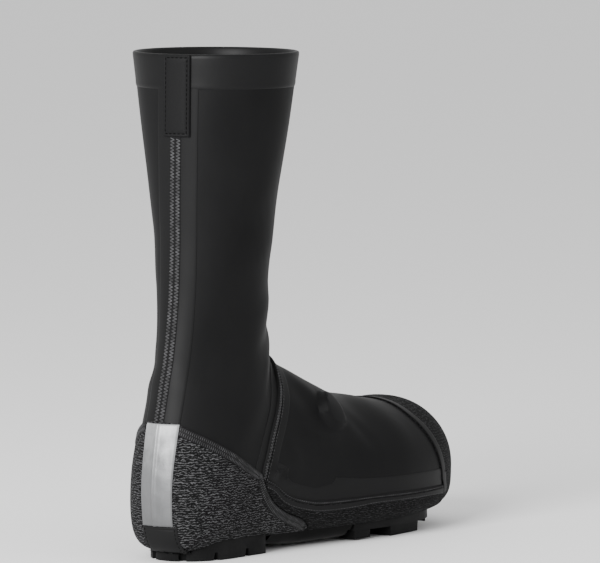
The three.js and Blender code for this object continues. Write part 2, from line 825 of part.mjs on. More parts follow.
// A closed sheet between two grids of points, whose rows go forward and whose points go
// towards the outer side.
function sheetSolid(lower, upper) {
  const rows = lower.length;
  const columns = lower[0].length;
  const points = [...lower.flat(), ...upper.flat()];
  const low = (i, j) => i * columns + j;
  const high = (i, j) => rows * columns + i * columns + j;
  const faces = [];
  const square = (a, b, c, d) => faces.push(a, b, c, a, c, d);
  for (let i = 0; i + 1 < rows; i += 1) {
    for (let j = 0; j + 1 < columns; j += 1) {
      square(high(i, j), high(i, j + 1), high(i + 1, j + 1), high(i + 1, j));
      square(low(i, j), low(i + 1, j), low(i + 1, j + 1), low(i, j + 1));
    }
    const last = columns - 1;
    square(low(i, 0), high(i, 0), high(i + 1, 0), low(i + 1, 0));
    square(low(i, last), low(i + 1, last), high(i + 1, last), high(i, last));
  }
  for (let j = 0; j + 1 < columns; j += 1) {
    const last = rows - 1;
    square(low(0, j), low(0, j + 1), high(0, j + 1), high(0, j));
    square(low(last, j), high(last, j), high(last, j + 1), low(last, j + 1));
  }
  const geometry = new THREE.BufferGeometry().setFromPoints(points);
  geometry.setIndex(faces);
  return solidOf(geometry);
}

// The strap crosses under the arch, below the skin, from one side of the foot to the other.
// Lift is its height over the floor in the middle of the foot, as a share of the sole height,
// and its edges rise to the skin.
const STRAP_LINE = table(
  ["along", "lift"],
  [
    [0.287, 0.42],
    [0.33, 0.24],
    [0.4, 0.14],
    [0.47, 0.14],
    [0.541, 0.14],
  ],
);
const STRAP_ACROSS = 14;
const STRAP_EDGE_LIFT = 1.5; // share of the sole height
const STRAP_BEND = 8; // how sharply the strap turns up at its edges
const STRAP_INSET = 5;

function strapRow(row, thickness) {
  const distance = row.along * SHOE_LENGTH;
  const { middle, half } = underside(distance);
  return Array.from({ length: STRAP_ACROSS + 1 }, (_, index) => {
    const share = (2 * index) / STRAP_ACROSS - 1;
    const lift = THREE.MathUtils.lerp(row.lift, STRAP_EDGE_LIFT, share ** STRAP_BEND);
    return new THREE.Vector3(
      middle + share * (half - STRAP_INSET),
      along(distance),
      lift * SOLE_HEIGHT + thickness,
    );
  });
}

function archStrapSolid() {
  const lower = STRAP_LINE.map((row) => strapRow(row, 0));
  const upper = STRAP_LINE.map((row) => strapRow(row, STRAP_THICKNESS));
  return sheetSolid(lower, upper).subtract(form(SECOND_LAYER));
}

// Materials, one for each kind of stuff that the shoe is made of.
const MATERIALS = {
  skin: { color: 0x17181a, roughness: 0.55 },
  tape: { color: 0x101113, roughness: 0.6 },
  seam: { color: 0x202124, roughness: 0.7 },
  knit: { color: 0x1b1b1d, roughness: 0.9 },
  melange: { color: 0x353638, roughness: 0.95 },
  reflective: { color: 0x9b9da0, roughness: 0.45 },
  rubber: { color: 0x0e0f10, roughness: 0.7 },
  plate: { color: 0x141517, roughness: 0.35 },
  strap: { color: 0x08090a, roughness: 0.3 },
  insole: { color: 0x2a2b2d, roughness: 0.9 },
};

const PIECES = [
  ["upper", upperSolid(), MATERIALS.skin],
  ["cuff", cuffSolid(), MATERIALS.tape],
  ["back_tab", tabSolid(), MATERIALS.tape],
  ["back_seam", backSeamSolid(), MATERIALS.seam],
  ["instep_seam", instepSeamSolid(), MATERIALS.seam],
  ["side_seam_outer", sideSeamSolid(1), MATERIALS.tape],
  ["side_seam_inner", sideSeamSolid(-1), MATERIALS.tape],
  ["side_band", sideBandSolid(), MATERIALS.knit],
  ["toe_cap", toeCapSolid(), MATERIALS.knit],
  ["heel_counter", heelCounterSolid(), MATERIALS.melange],
  ["reflective_strip", reflectiveStripSolid(), MATERIALS.reflective],
  ["heel_patch", heelPatchSolid(), MATERIALS.tape],
  ["sole_plate", solePlateSolid(), MATERIALS.plate],
  ["insole", insoleSolid(), MATERIALS.insole],
  ["heel_tread", heelTreadSolid(), MATERIALS.rubber],
  ["forefoot_tread_outer", forefootTreadSolid(1), MATERIALS.rubber],
  ["forefoot_tread_inner", forefootTreadSolid(-1), MATERIALS.rubber],
  ["arch_strap", archStrapSolid(), MATERIALS.strap],
];

const overshoe = new THREE.Group();
for (const [name, solid, finish] of PIECES) {
  const material = new THREE.MeshStandardMaterial({ ...finish, metalness: 0 });
  const mesh = new THREE.Mesh(geometryOf(solid), material);
  mesh.name = name;
  overshoe.add(mesh);
}

export default overshoe;
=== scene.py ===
import math
import bpy
import numpy as np
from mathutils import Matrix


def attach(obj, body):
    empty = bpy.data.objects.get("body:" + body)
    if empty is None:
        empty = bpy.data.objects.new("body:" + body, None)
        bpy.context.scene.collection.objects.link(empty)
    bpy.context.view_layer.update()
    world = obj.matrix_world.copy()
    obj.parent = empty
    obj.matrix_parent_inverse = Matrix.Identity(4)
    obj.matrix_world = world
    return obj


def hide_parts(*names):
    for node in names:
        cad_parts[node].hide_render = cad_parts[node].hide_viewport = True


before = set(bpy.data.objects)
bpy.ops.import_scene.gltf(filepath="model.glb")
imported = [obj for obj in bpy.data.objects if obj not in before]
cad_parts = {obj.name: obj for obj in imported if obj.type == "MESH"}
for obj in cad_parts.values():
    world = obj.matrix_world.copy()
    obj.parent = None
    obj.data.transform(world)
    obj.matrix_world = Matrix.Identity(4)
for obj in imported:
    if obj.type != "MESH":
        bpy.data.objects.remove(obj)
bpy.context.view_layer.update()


# Camera: behind the heel on the outer side of a right foot, a little above the floor, with a
# long lens, so that the shaft stands upright in the view.
VIEW_AZIMUTH = math.radians(36.0)
VIEW_ELEVATION = math.radians(5.0)
VIEW_DISTANCE = 4.0
VIEW_LENS = 367.2
AIM_HEIGHT = 0.150
AIM_SIDEWAYS = 0.0067
AIM_UP = 0.0192

sideways = np.array([math.cos(VIEW_AZIMUTH), math.sin(VIEW_AZIMUTH), 0.0])
backwards = np.array([
    math.sin(VIEW_AZIMUTH) * math.cos(VIEW_ELEVATION),
    -math.cos(VIEW_AZIMUTH) * math.cos(VIEW_ELEVATION),
    math.sin(VIEW_ELEVATION),
])
upwards = np.cross(backwards, sideways)
aim = np.array([0.0, 0.0, AIM_HEIGHT]) + AIM_SIDEWAYS * sideways + AIM_UP * upwards
bpy.ops.object.camera_add(
    location=tuple(aim + VIEW_DISTANCE * backwards),
    rotation=(math.pi / 2 - VIEW_ELEVATION, 0.0, VIEW_AZIMUTH),
)
camera = bpy.context.object
camera.name = "camera"
camera.data.lens = VIEW_LENS
camera.data.sensor_width = 36.0
camera.data.clip_end = 50.0
bpy.context.scene.camera = camera


# Floor and light: a plain pale floor in a pale room, with large soft panels. The strongest
# panel stands behind the heel and lights the back of the shaft.
FLOOR_SIZE = 40.0
FLOOR_DROP = 0.0002

bpy.ops.mesh.primitive_plane_add(size=FLOOR_SIZE, location=(0.0, 0.0, 0.0))
floor = bpy.context.object
floor.name = "floor"
floor.data.transform(floor.matrix_world)
for corner in floor.data.vertices:
    corner.co.z = -FLOOR_DROP
floor_material = bpy.data.materials.new("pale_floor")
floor_material.use_nodes = True
floor_shader = floor_material.node_tree.nodes["Principled BSDF"]
floor_shader.inputs["Base Color"].default_value = (0.90, 0.90, 0.90, 1.0)
floor_shader.inputs["Roughness"].default_value = 0.8
floor_shader.inputs["Specular IOR Level"].default_value = 0.1
floor.data.materials.append(floor_material)

room = bpy.data.worlds.new("pale_room")
bpy.context.scene.world = room
room.use_nodes = True
room.node_tree.nodes["Background"].inputs["Color"].default_value = (1.0, 1.0, 1.0, 1.0)
room.node_tree.nodes["Background"].inputs["Strength"].default_value = 1.0


def add_panel_light(name, place, target, size, power):
    bpy.ops.object.light_add(type="AREA", location=place)
    panel = bpy.context.object
    panel.name = name
    panel.data.shape = "RECTANGLE"
    panel.data.size = size[0]
    panel.data.size_y = size[1]
    panel.data.energy = power
    towards = np.array(target) - np.array(place)
    level = math.hypot(towards[0], towards[1])
    panel.rotation_euler = (
        math.atan2(level, -towards[2]), 0.0, math.atan2(-towards[0], towards[1])
    )


add_panel_light("panel_heel", (0.3, -2.5, 1.1), (0.0, -0.05, 0.2), (1.2, 1.4), 150.0)
add_panel_light("panel_side", (2.2, 0.2, 0.9), (0.0, 0.0, 0.12), (1.0, 1.2), 5.0)
add_panel_light("panel_over", (-0.5, -0.6, 2.4), (0.0, 0.0, 0.1), (1.4, 1.4), 3.0)


# Upper: one stretch skin of foot and shaft, a black laminate with a smooth dull face. It is
# drawn over the shoe, so its form is that of the shoe's last, with soft folds at the instep.
# All the other soft pieces lie on this form.
MM = 0.001
SHOE_LENGTH = 296 * MM
BALL_WIDTH = 110 * MM
INSTEP_HEIGHT = 125 * MM
SOLE_HEIGHT = 12 * MM
SHAFT_RISE = 198 * MM
ANKLE_WIDTH = 63 * MM
ANKLE_DEPTH = 84.5 * MM
COLLAR_WIDTH = 107.5 * MM
COLLAR_DEPTH = 104 * MM
COLLAR_HEIGHT = INSTEP_HEIGHT + SHAFT_RISE
SKIN_WALL = 2.2 * MM

# Sections of the foot from the toe to the heel. Columns: top along and height, underside
# along and height, width, shift, widest, roundness on top and underneath.
FOOT_SECTIONS = [
    [0.997, 0.376, 0.997, 2.9, 0.145, -0.064, 0.45, 2.0, 2.3],
    [0.993, 0.456, 0.992, 2.0, 0.42, -0.064, 0.4, 2.1, 3.0],
    [0.975, 0.544, 0.97, 1.54, 0.636, -0.059, 0.38, 2.2, 3.8],
    [0.94, 0.616, 0.93, 1.29, 0.791, -0.045, 0.36, 2.2, 4.8],
    [0.883, 0.672, 0.867, 1.125, 0.909, -0.027, 0.34, 2.2, 5.6],
    [0.807, 0.68, 0.783, 1.04, 0.982, -0.009, 0.33, 2.2, 6.0],
    [0.707, 0.72, 0.687, 0.95, 1.0, 0.0, 0.32, 2.1, 6.0],
    [0.613, 0.759, 0.587, 0.93, 0.927, 0.009, 0.32, 2.0, 6.0],
    [0.527, 0.832, 0.487, 0.92, 0.818, 0.018, 0.34, 2.0, 6.0],
    [0.447, 0.918, 0.373, 0.9, 0.727, 0.009, 0.36, 2.0, 6.0],
    [0.395, 0.972, 0.247, 0.88, 0.682, 0.0, 0.4, 2.0, 5.0],
    [0.375, 1.004, 0.12, 0.75, 0.655, 0.0, 0.46, 2.0, 4.0],
    [0.37, 1.024, 0.027, 0.875, 0.655, 0.0, 0.5, 2.0, 2.9],
    [0.367, 1.052, 0.002, 3.5, 0.655, 0.0, 0.5, 2.0, 2.25],
]

# Sections of the shaft from the crease to the collar. Columns: rise in front and at the back,
# middle along, depth, width, widest, roundness in front and at the back.
SHAFT_SECTIONS = [
    [0.056, -0.247, 0.189, 1.026, 0.11, 0.5, 2.0, 1.9],
    [0.096, -0.096, 0.199, 0.615, 0.02, 0.52, 2.0, 1.85],
    [0.162, 0.061, 0.208, 0.231, -0.03, 0.54, 2.0, 1.85],
    [0.263, 0.222, 0.212, 0.0, 0.0, 0.54, 2.0, 2.0],
    [0.429, 0.409, 0.214, 0.0, 0.19, 0.54, 2.1, 2.0],
    [0.596, 0.586, 0.219, 0.26, 0.44, 0.53, 2.0, 2.0],
    [0.783, 0.783, 0.2235, 0.65, 0.72, 0.52, 2.0, 2.0],
    [1.0, 1.0, 0.2275, 1.0, 1.0, 0.51, 2.0, 2.0],
]


def along(share):
    """The y of a share of the length, counted from the back of the heel."""
    return (share - 0.5) * SHOE_LENGTH


def section_rows():
    rows = []
    for top_y, top, under_y, under, width, shift, widest, high, low in FOOT_SECTIONS:
        rows.append([
            along(top_y), top * INSTEP_HEIGHT, along(under_y), under * SOLE_HEIGHT,
            width * BALL_WIDTH / 2, shift * BALL_WIDTH, widest, high, low,
        ])
    for front, rear, middle, deep, wide, widest, high, low in SHAFT_SECTIONS:
        depth = ANKLE_DEPTH + (COLLAR_DEPTH - ANKLE_DEPTH) * deep
        width = ANKLE_WIDTH + (COLLAR_WIDTH - ANKLE_WIDTH) * wide
        rows.append([
            along(middle) + depth / 2, INSTEP_HEIGHT + front * SHAFT_RISE,
            along(middle) - depth / 2, INSTEP_HEIGHT + rear * SHAFT_RISE,
            width / 2, 0.0, widest, high, low,
        ])
    return np.array(rows)


SECTIONS = section_rows()
LAST_SECTION = len(SECTIONS) - 1


def section_at(station):
    """The section between two rows, on a smooth curve through all of them."""
    station = np.clip(station, 0, LAST_SECTION)
    first = np.minimum(station.astype(int), LAST_SECTION - 1)
    u = (station - first)[..., None]
    before = SECTIONS[np.maximum(first - 1, 0)]
    after = SECTIONS[np.minimum(first + 2, LAST_SECTION)]
    return (
        (-u + 2 * u**2 - u**3) / 2 * before
        + (2 - 5 * u**2 + 3 * u**3) / 2 * SECTIONS[first]
        + (u + 4 * u**2 - 3 * u**3) / 2 * SECTIONS[first + 1]
        + (-(u**2) + u**3) / 2 * after
    )


def last_point(station, angle):
    """A point of the plain last. The angle is 0 on top, grows to the outer side, pi is under."""
    station, angle = np.broadcast_arrays(np.asarray(station, float), np.asarray(angle, float))
    row = np.moveaxis(section_at(station), -1, 0)
    top_y, top_z, under_y, under_z, half, shift, widest, high, low = row
    on_top = np.cos(angle) > 0
    roundness = np.where(on_top, high, low)
    across = np.sign(np.sin(angle)) * np.abs(np.sin(angle)) ** (2 / roundness)
    upward = np.abs(np.cos(angle)) ** (2 / roundness)
    middle_y = under_y + (top_y - under_y) * widest
    middle_z = under_z + (top_z - under_z) * widest
    return np.stack([
        shift + half * across,
        middle_y + (np.where(on_top, top_y, under_y) - middle_y) * upward,
        middle_z + (np.where(on_top, top_z, under_z) - middle_z) * upward,
    ], axis=-1)


NORMAL_STEP = 0.06


def last_slopes(station, angle):
    lower = np.maximum(station - NORMAL_STEP, 0)
    upper = np.minimum(station + NORMAL_STEP, LAST_SECTION)
    spread = (upper - lower)[..., None]
    lengthwise = (last_point(upper, angle) - last_point(lower, angle)) / spread
    around = last_point(station, angle + NORMAL_STEP) - last_point(station, angle - NORMAL_STEP)
    return lengthwise, around / (2 * NORMAL_STEP)


def last_normal(station, angle):
    station, angle = np.broadcast_arrays(np.asarray(station, float), np.asarray(angle, float))
    normal = np.cross(*last_slopes(station, angle))
    return normal / np.maximum(np.linalg.norm(normal, axis=-1, keepdims=True), 1e-12)


# Folds of the skin, each a soft ridge or trough along a line in the side view. Columns: side
# of the foot (0 for both), rise, half width, and points as shares of length and instep height.
FOLDS = [
    (1, 1.0 * MM, 5.0 * MM, [(0.41, 0.88), (0.45, 0.81), (0.478, 0.755)]),
    (1, -0.9 * MM, 6.0 * MM, [(0.40, 0.80), (0.43, 0.73), (0.46, 0.66)]),
    (1, 1.3 * MM, 4.5 * MM, [(0.39, 0.60), (0.43, 0.57), (0.49, 0.555)]),
    (1, 0.6 * MM, 5.0 * MM, [(0.335, 0.56), (0.345, 0.50), (0.35, 0.43)]),
    (1, -0.7 * MM, 5.0 * MM, [(0.55, 0.66), (0.57, 0.60), (0.60, 0.50)]),
    (1, 1.5 * MM, 2.6 * MM, [(0.27, 0.43), (0.29, 0.435), (0.315, 0.42)]),
    (1, -1.3 * MM, 2.4 * MM, [(0.28, 0.395), (0.30, 0.40), (0.325, 0.38)]),
    (0, -1.6 * MM, 6.0 * MM, [(0.33, 1.06), (0.318, 0.99), (0.31, 0.90), (0.29, 0.82)]),
    (0, 1.2 * MM, 5.0 * MM, [(0.34, 1.16), (0.33, 1.08), (0.30, 0.99), (0.27, 0.93)]),
    (0, -1.2 * MM, 6.0 * MM, [(0.37, 1.24), (0.345, 1.21), (0.30, 1.12), (0.25, 1.05)]),
    (0, 0.9 * MM, 7.0 * MM, [(0.36, 1.38), (0.31, 1.30), (0.25, 1.22)]),
    (0, -0.9 * MM, 7.0 * MM, [(0.06, 1.00), (0.11, 0.97), (0.17, 0.98)]),
    (0, 0.8 * MM, 7.0 * MM, [(0.05, 0.90), (0.11, 0.86), (0.17, 0.80)]),
    (-1, 0.9 * MM, 7.0 * MM, [(0.40, 0.80), (0.46, 0.74), (0.53, 0.66)]),
    (-1, -0.8 * MM, 6.0 * MM, [(0.40, 0.68), (0.46, 0.62), (0.53, 0.55)]),
    (0, 0.6 * MM, 9.0 * MM, [(0.10, 1.45), (0.22, 1.52), (0.34, 1.66)]),
    (0, -0.5 * MM, 10.0 * MM, [(0.08, 1.62), (0.20, 1.72), (0.34, 1.90)]),
    (0, -0.6 * MM, 9.0 * MM, [(0.56, 0.76), (0.60, 0.66), (0.64, 0.52)]),
    (0, 0.5 * MM, 9.0 * MM, [(0.66, 0.70), (0.70, 0.60), (0.72, 0.45)]),
]

# Reach and fade shape a fold across its line, and ends how it fades along the line.
FOLD_REACH = 1.6
FOLD_FADE = 2.2
FOLD_ENDS = 0.6
SIDE_BLEND = 20 * MM

# The closing dial of the shoe inside pushes the skin out on the outer side. Its edge is the
# share of the radius over which it rises, and its tilt lifts it more at the upper rear.
DIAL_ALONG = 0.5
DIAL_HEIGHT = 0.69
DIAL_RADIUS = 13 * MM
DIAL_RISE = 3.8 * MM
DIAL_EDGE = 0.32
DIAL_TILT = 0.55


def fold_height(y, z, points, half_width):
    """1 on the line through the points, fading beyond the half width and towards both ends."""
    line = np.array([(along(share), height * INSTEP_HEIGHT) for share, height in points])
    steps = np.linspace(0, len(line) - 1, 4 * len(line))
    curve = np.stack([np.interp(steps, range(len(line)), line[:, k]) for k in (0, 1)], axis=-1)
    strength = np.sin(np.pi * (np.arange(len(curve)) + 0.5) / len(curve)) ** FOLD_ENDS
    best = np.zeros_like(y)
    for (line_y, line_z), power in zip(curve, strength):
        away = ((y - line_y) ** 2 + (z - line_z) ** 2) / (half_width * FOLD_REACH) ** 2
        best = np.maximum(best, power * np.exp(-FOLD_FADE * away))
    return best


def skin_relief(point):
    """How far the skin stands off the plain last: the dial's bump and the folds."""
    x, y, z = np.moveaxis(point, -1, 0)
    forward = (y - along(DIAL_ALONG)) / DIAL_RADIUS
    upward = (z - DIAL_HEIGHT * INSTEP_HEIGHT) / DIAL_RADIUS
    bump = np.clip((1 - np.hypot(forward, upward)) / DIAL_EDGE, 0, 1)
    tilt = 1 + DIAL_TILT * (upward - forward) / 2
    relief = np.where(x > 0, DIAL_RISE * tilt * bump * bump * (3 - 2 * bump), 0.0)
    for side, rise, half_width, points in FOLDS:
        near_side = 1.0 if side == 0 else np.clip(0.5 + side * x / SIDE_BLEND, 0, 1)
        relief = relief + rise * near_side * fold_height(y, z, points, half_width)
    return relief


def skin_point(station, angle, offset=0.0):
    point = last_point(station, angle)
    rise = offset + skin_relief(point)
    return point + last_normal(station, angle) * rise[..., None]


def even_stations(start, end, count, angles=(0.0, math.pi / 2, math.pi)):
    """Stations whose rings lie evenly apart, on average over a few lines along the foot."""
    fine = np.linspace(start, end, 600)
    run = np.zeros(len(fine))
    for angle in angles:
        steps = np.diff(last_point(fine, angle), axis=0)
        run[1:] += np.cumsum(np.linalg.norm(steps, axis=1))
    return np.interp(np.linspace(0, run[-1], count), run, fine)


def even_angles(station, start, end, count):
    """Angles from start to end round one section, evenly apart along the skin."""
    fine = np.linspace(start, end, 721)
    steps = np.diff(last_point(station, fine), axis=0)
    run = np.concatenate([[0.0], np.cumsum(np.linalg.norm(steps, axis=1))])
    return np.interp(np.linspace(0, run[-1], count), run, fine)


def add_sheet(name, points, outward=None):
    """A grid primitive whose corners are drawn to points[row, column], facing outward."""
    rows = len(points) - 1
    columns = len(points[0]) - 1
    middle_row, middle_column = rows // 2, columns // 2
    if outward is not None:
        here = points[middle_row, middle_column]
        across = points[middle_row, middle_column + 1] - here
        up = points[middle_row + 1, middle_column] - here
        if np.dot(np.cross(across, up), outward[middle_row, middle_column]) < 0:
            points = points[:, ::-1]
    bpy.ops.object.select_all(action="DESELECT")
    bpy.ops.mesh.primitive_grid_add(x_subdivisions=columns, y_subdivisions=rows, size=1.0)
    piece = bpy.context.object
    piece.name = name
    piece.data.name = name
    flat = np.zeros(len(piece.data.vertices) * 3)
    piece.data.vertices.foreach_get("co", flat)
    plain = flat.reshape(-1, 3)
    column = np.rint((plain[:, 0] + 0.5) * columns).astype(int)
    row = np.rint((plain[:, 1] + 0.5) * rows).astype(int)
    piece.data.vertices.foreach_set("co", points[row, column].reshape(-1))
    piece.data.update()
    return piece


def make_active(piece):
    bpy.ops.object.select_all(action="DESELECT")
    piece.select_set(True)
    bpy.context.view_layer.objects.active = piece


def apply_modifier(piece, kind, **settings):
    make_active(piece)
    modifier = piece.modifiers.new(kind.lower(), kind)
    for key, value in settings.items():
        setattr(modifier, key, value)
    bpy.ops.object.modifier_apply(modifier=modifier.name)


def weld(piece, distance=0.01 * MM):
    make_active(piece)
    bpy.ops.object.mode_set(mode="EDIT")
    bpy.ops.mesh.select_all(action="SELECT")
    bpy.ops.mesh.remove_doubles(threshold=distance)
    bpy.ops.mesh.normals_make_consistent(inside=False)
    bpy.ops.object.mode_set(mode="OBJECT")


def shade_smooth(piece, degrees=40.0):
    make_active(piece)
    bpy.ops.object.shade_smooth_by_angle(angle=math.radians(degrees))


def finish_piece(piece, material, slot, *nodes):
    piece.data.materials.clear()
    piece.data.materials.append(material)
    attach(piece, "root")
    if nodes:
        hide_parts(*nodes)


def closed_tip(ring, rows, bulge):
    """Rows that close the ring at the tip of the toe, from its middle outwards."""
    centre = ring.mean(axis=0)
    shares = np.linspace(0, 1, rows, endpoint=False)[:, None, None]
    inner = centre + (ring[None] - centre) * np.sin(shares * math.pi / 2)
    inner[..., 1] += bulge * np.cos(shares[..., 0] * math.pi / 2) ** 2
    return inner


SKIN_COLUMNS = 176
SKIN_ROWS = 240
TIP_ROWS = 5
TIP_BULGE = 0.7 * MM

skin_stations = even_stations(0, LAST_SECTION, SKIN_ROWS + 1)
skin_angles = np.array([
    even_angles(station, math.pi, -math.pi, SKIN_COLUMNS + 1) for station in skin_stations
])
skin_grid = skin_point(skin_stations[:, None], skin_angles)
skin_grid[-1, :, 2] = COLLAR_HEIGHT
skin_grid[:, -1] = skin_grid[:, 0]
skin_grid = np.concatenate([closed_tip(skin_grid[0], TIP_ROWS, TIP_BULGE), skin_grid])
skin = add_sheet("skin", skin_grid)
weld(skin)
apply_modifier(skin, "SOLIDIFY", thickness=SKIN_WALL, offset=-1.0)

# The treads of the shoe come through two openings underneath, an oblong one at the heel and
# a larger one at the forefoot. They are cut out with the treads' outlines, a little wider.
OPENING_CLEARANCE = 1.2 * MM
HEEL_PAD = {"start": 0.044, "end": 0.272, "inset": 8 * MM, "back": 0.12, "front": 0.0}
FOREFOOT_PAD = {"start": 0.55, "end": 0.92, "inset": 9 * MM, "back": 0.0, "front": 0.1}
OUTLINE_STEPS = 40
CUTTER_BOTTOM = -25 * MM
CUTTER_TOP = 26.4 * MM


def underside(distance):
    """Middle and half width of the foot's underside at a share of the length."""
    fine = np.linspace(0, 12, 1201)
    row = section_at(fine)
    order = np.argsort(row[:, 2])
    station = np.interp(along(distance), row[order, 2], fine[order])
    found = section_at(np.atleast_1d(station))[0]
    return found[5], found[4]


def pad_point(pad, distance, share):
    middle, half = underside(distance)
    behind = 1 - (distance - pad["start"]) / pad["back"] if pad["back"] else 0.0
    ahead = 1 - (pad["end"] - distance) / pad["front"] if pad["front"] else 0.0
    from_end = max(behind, ahead, 0.0)
    narrowed = math.sqrt(max(1 - from_end**2, 0.01))
    return middle + share * (half - pad["inset"]) * narrowed, along(distance)


def pad_outline(pad, grown):
    start = pad["start"] - grown / SHOE_LENGTH
    end = pad["end"] + grown / SHOE_LENGTH
    wider = dict(pad, start=start, end=end, inset=pad["inset"] - grown)
    distances = [
        start + (end - start) * (1 - math.cos(math.pi * step / OUTLINE_STEPS)) / 2
        for step in range(OUTLINE_STEPS + 1)
    ]
    outer = [pad_point(wider, distance, 1) for distance in distances]
    inner = [pad_point(wider, distance, -1) for distance in reversed(distances)]
    return outer + inner


def add_opening_cutter(name, pad):
    outline = pad_outline(pad, OPENING_CLEARANCE)
    bpy.ops.object.select_all(action="DESELECT")
    bpy.ops.mesh.primitive_circle_add(vertices=len(outline), radius=1.0, fill_type="NGON")
    cutter = bpy.context.object
    cutter.name = name
    for vertex, (x, y) in zip(cutter.data.vertices, outline):
        vertex.co = (x, y, CUTTER_BOTTOM)
    bpy.ops.object.mode_set(mode="EDIT")
    bpy.ops.mesh.select_all(action="SELECT")
    rise = (0.0, 0.0, CUTTER_TOP - CUTTER_BOTTOM)
    bpy.ops.mesh.extrude_region_move(TRANSFORM_OT_translate={"value": rise})
    bpy.ops.mesh.select_all(action="SELECT")
    bpy.ops.mesh.normals_make_consistent(inside=False)
    bpy.ops.object.mode_set(mode="OBJECT")
    return cutter


opening_cutters = [
    add_opening_cutter("heel_opening", HEEL_PAD),
    add_opening_cutter("forefoot_opening", FOREFOOT_PAD),
]


def cut_openings(piece):
    for cutter in opening_cutters:
        apply_modifier(piece, "BOOLEAN", operation="DIFFERENCE", object=cutter, solver="MANIFOLD")


cut_openings(skin)
shade_smooth(skin)


def new_material(name, colour, roughness, specular):
    material = bpy.data.materials.new(name)
    material.use_nodes = True
    shader = material.node_tree.nodes["Principled BSDF"]
    shader.inputs["Base Color"].default_value = (*colour, 1.0)
    shader.inputs["Roughness"].default_value = roughness
    shader.inputs["Specular IOR Level"].default_value = specular
    return material


def add_noise(material, stretch, scale, detail=3.0, roughness=0.5, distortion=0.0):
    """Noise on object coordinates. The stretch is how much finer it is along each axis."""
    nodes = material.node_tree.nodes
    links = material.node_tree.links
    place = nodes.new("ShaderNodeTexCoord")
    mapping = nodes.new("ShaderNodeMapping")
    mapping.inputs["Scale"].default_value = stretch
    noise = nodes.new("ShaderNodeTexNoise")
    noise.inputs["Scale"].default_value = scale
    noise.inputs["Detail"].default_value = detail
    noise.inputs["Roughness"].default_value = roughness
    noise.inputs["Distortion"].default_value = distortion
    links.new(place.outputs["Object"], mapping.inputs["Vector"])
    links.new(mapping.outputs["Vector"], noise.inputs["Vector"])
    return noise.outputs["Fac"]


def add_ramp(material, value, stops):
    """A colour ramp over a value, with stops of place and colour."""
    ramp = material.node_tree.nodes.new("ShaderNodeValToRGB")
    while len(ramp.color_ramp.elements) < len(stops):
        ramp.color_ramp.elements.new(0.5)
    for element, (place, colour) in zip(ramp.color_ramp.elements, stops):
        element.position = place
        element.color = (*colour, 1.0)
    material.node_tree.links.new(value, ramp.inputs["Fac"])
    return ramp.outputs["Color"]


def add_bump(material, height, distance, strength=1.0, onto=None):
    bump = material.node_tree.nodes.new("ShaderNodeBump")
    bump.inputs["Strength"].default_value = strength
    bump.inputs["Distance"].default_value = distance
    material.node_tree.links.new(height, bump.inputs["Height"])
    if onto is not None:
        material.node_tree.links.new(onto, bump.inputs["Normal"])
    return bump.outputs["Normal"]


def connect(material, output, socket):
    shader = material.node_tree.nodes["Principled BSDF"]
    material.node_tree.links.new(output, shader.inputs[socket])


skin_material = new_material("black_stretch_laminate", (0.006, 0.006, 0.0062), 0.45, 0.06)
skin_cloud = add_noise(skin_material, (1.0, 1.0, 0.6), 26.0, detail=4.0)
connect(skin_material, add_ramp(skin_material, skin_cloud, [
    (0.3, (0.0044, 0.0044, 0.0046)),
    (0.7, (0.0064, 0.0064, 0.0066)),
]), "Base Color")
connect(skin_material, add_ramp(skin_material, skin_cloud, [
    (0.3, (0.46, 0.46, 0.46)),
    (0.7, (0.56, 0.56, 0.56)),
]), "Roughness")
skin_grain = add_bump(skin_material, add_noise(skin_material, (1, 1, 1), 1400.0), 0.05 * MM, 0.35)
skin_ripple = add_noise(skin_material, (1.0, 1.0, 0.5), 60.0, detail=2.0)
connect(skin_material, add_bump(skin_material, skin_ripple, 0.5 * MM, 0.3, skin_grain), "Normal")
finish_piece(skin, skin_material, "skin", "upper")


# Heel counter: a coarse black and grey melange knit round the heel and under it. It is
# bonded on the skin, and its rim is a little drawn in.
KNIT_LIFT = 1.8 * MM
PANEL_SINK = 0.5 * MM
PANEL_ROLL = 1.4 * MM
RIM_SHARE = 0.45
COUNTER_SIDE = 91.4
COUNTER_TOP_END = 14.41
COUNTER_FRONT_END = 8.78
COUNTER_SPREAD = 0.8
COUNTER_COLUMNS = 132
COUNTER_ROWS = 64
# Edges of the panels in the side view, as shares of the length and the instep height.
COUNTER_TOP_LINE = [
    (-0.05, 0.735), (0.024, 0.715), (0.053, 0.67), (0.104, 0.59), (0.15, 0.528), (0.2, 0.46),
    (0.226, 0.425),
]
COUNTER_FRONT_LINE = [
    (0.226, 0.425), (0.235, 0.36), (0.26, 0.275), (0.305, 0.21), (0.37, 0.15), (0.44, 0.02),
]
LINE_STEPS = 240
LINE_MISS = 0.4 * MM


def smooth_line(points):
    """Evenly numbered points on a smooth curve through the points of a line."""
    points = np.array(points, float)
    last = len(points) - 1
    place = np.linspace(0, last, LINE_STEPS)
    first = np.minimum(place.astype(int), last - 1)
    u = (place - first)[:, None]
    p0, p1 = points[np.maximum(first - 1, 0)], points[first]
    p2, p3 = points[first + 1], points[np.minimum(first + 2, last)]
    return (
        p1 + (p2 - p0) / 2 * u + (p0 - 2.5 * p1 + 2 * p2 - p3 / 2) * u**2
        + (1.5 * (p1 - p2) + (p3 - p0) / 2) * u**3
    )


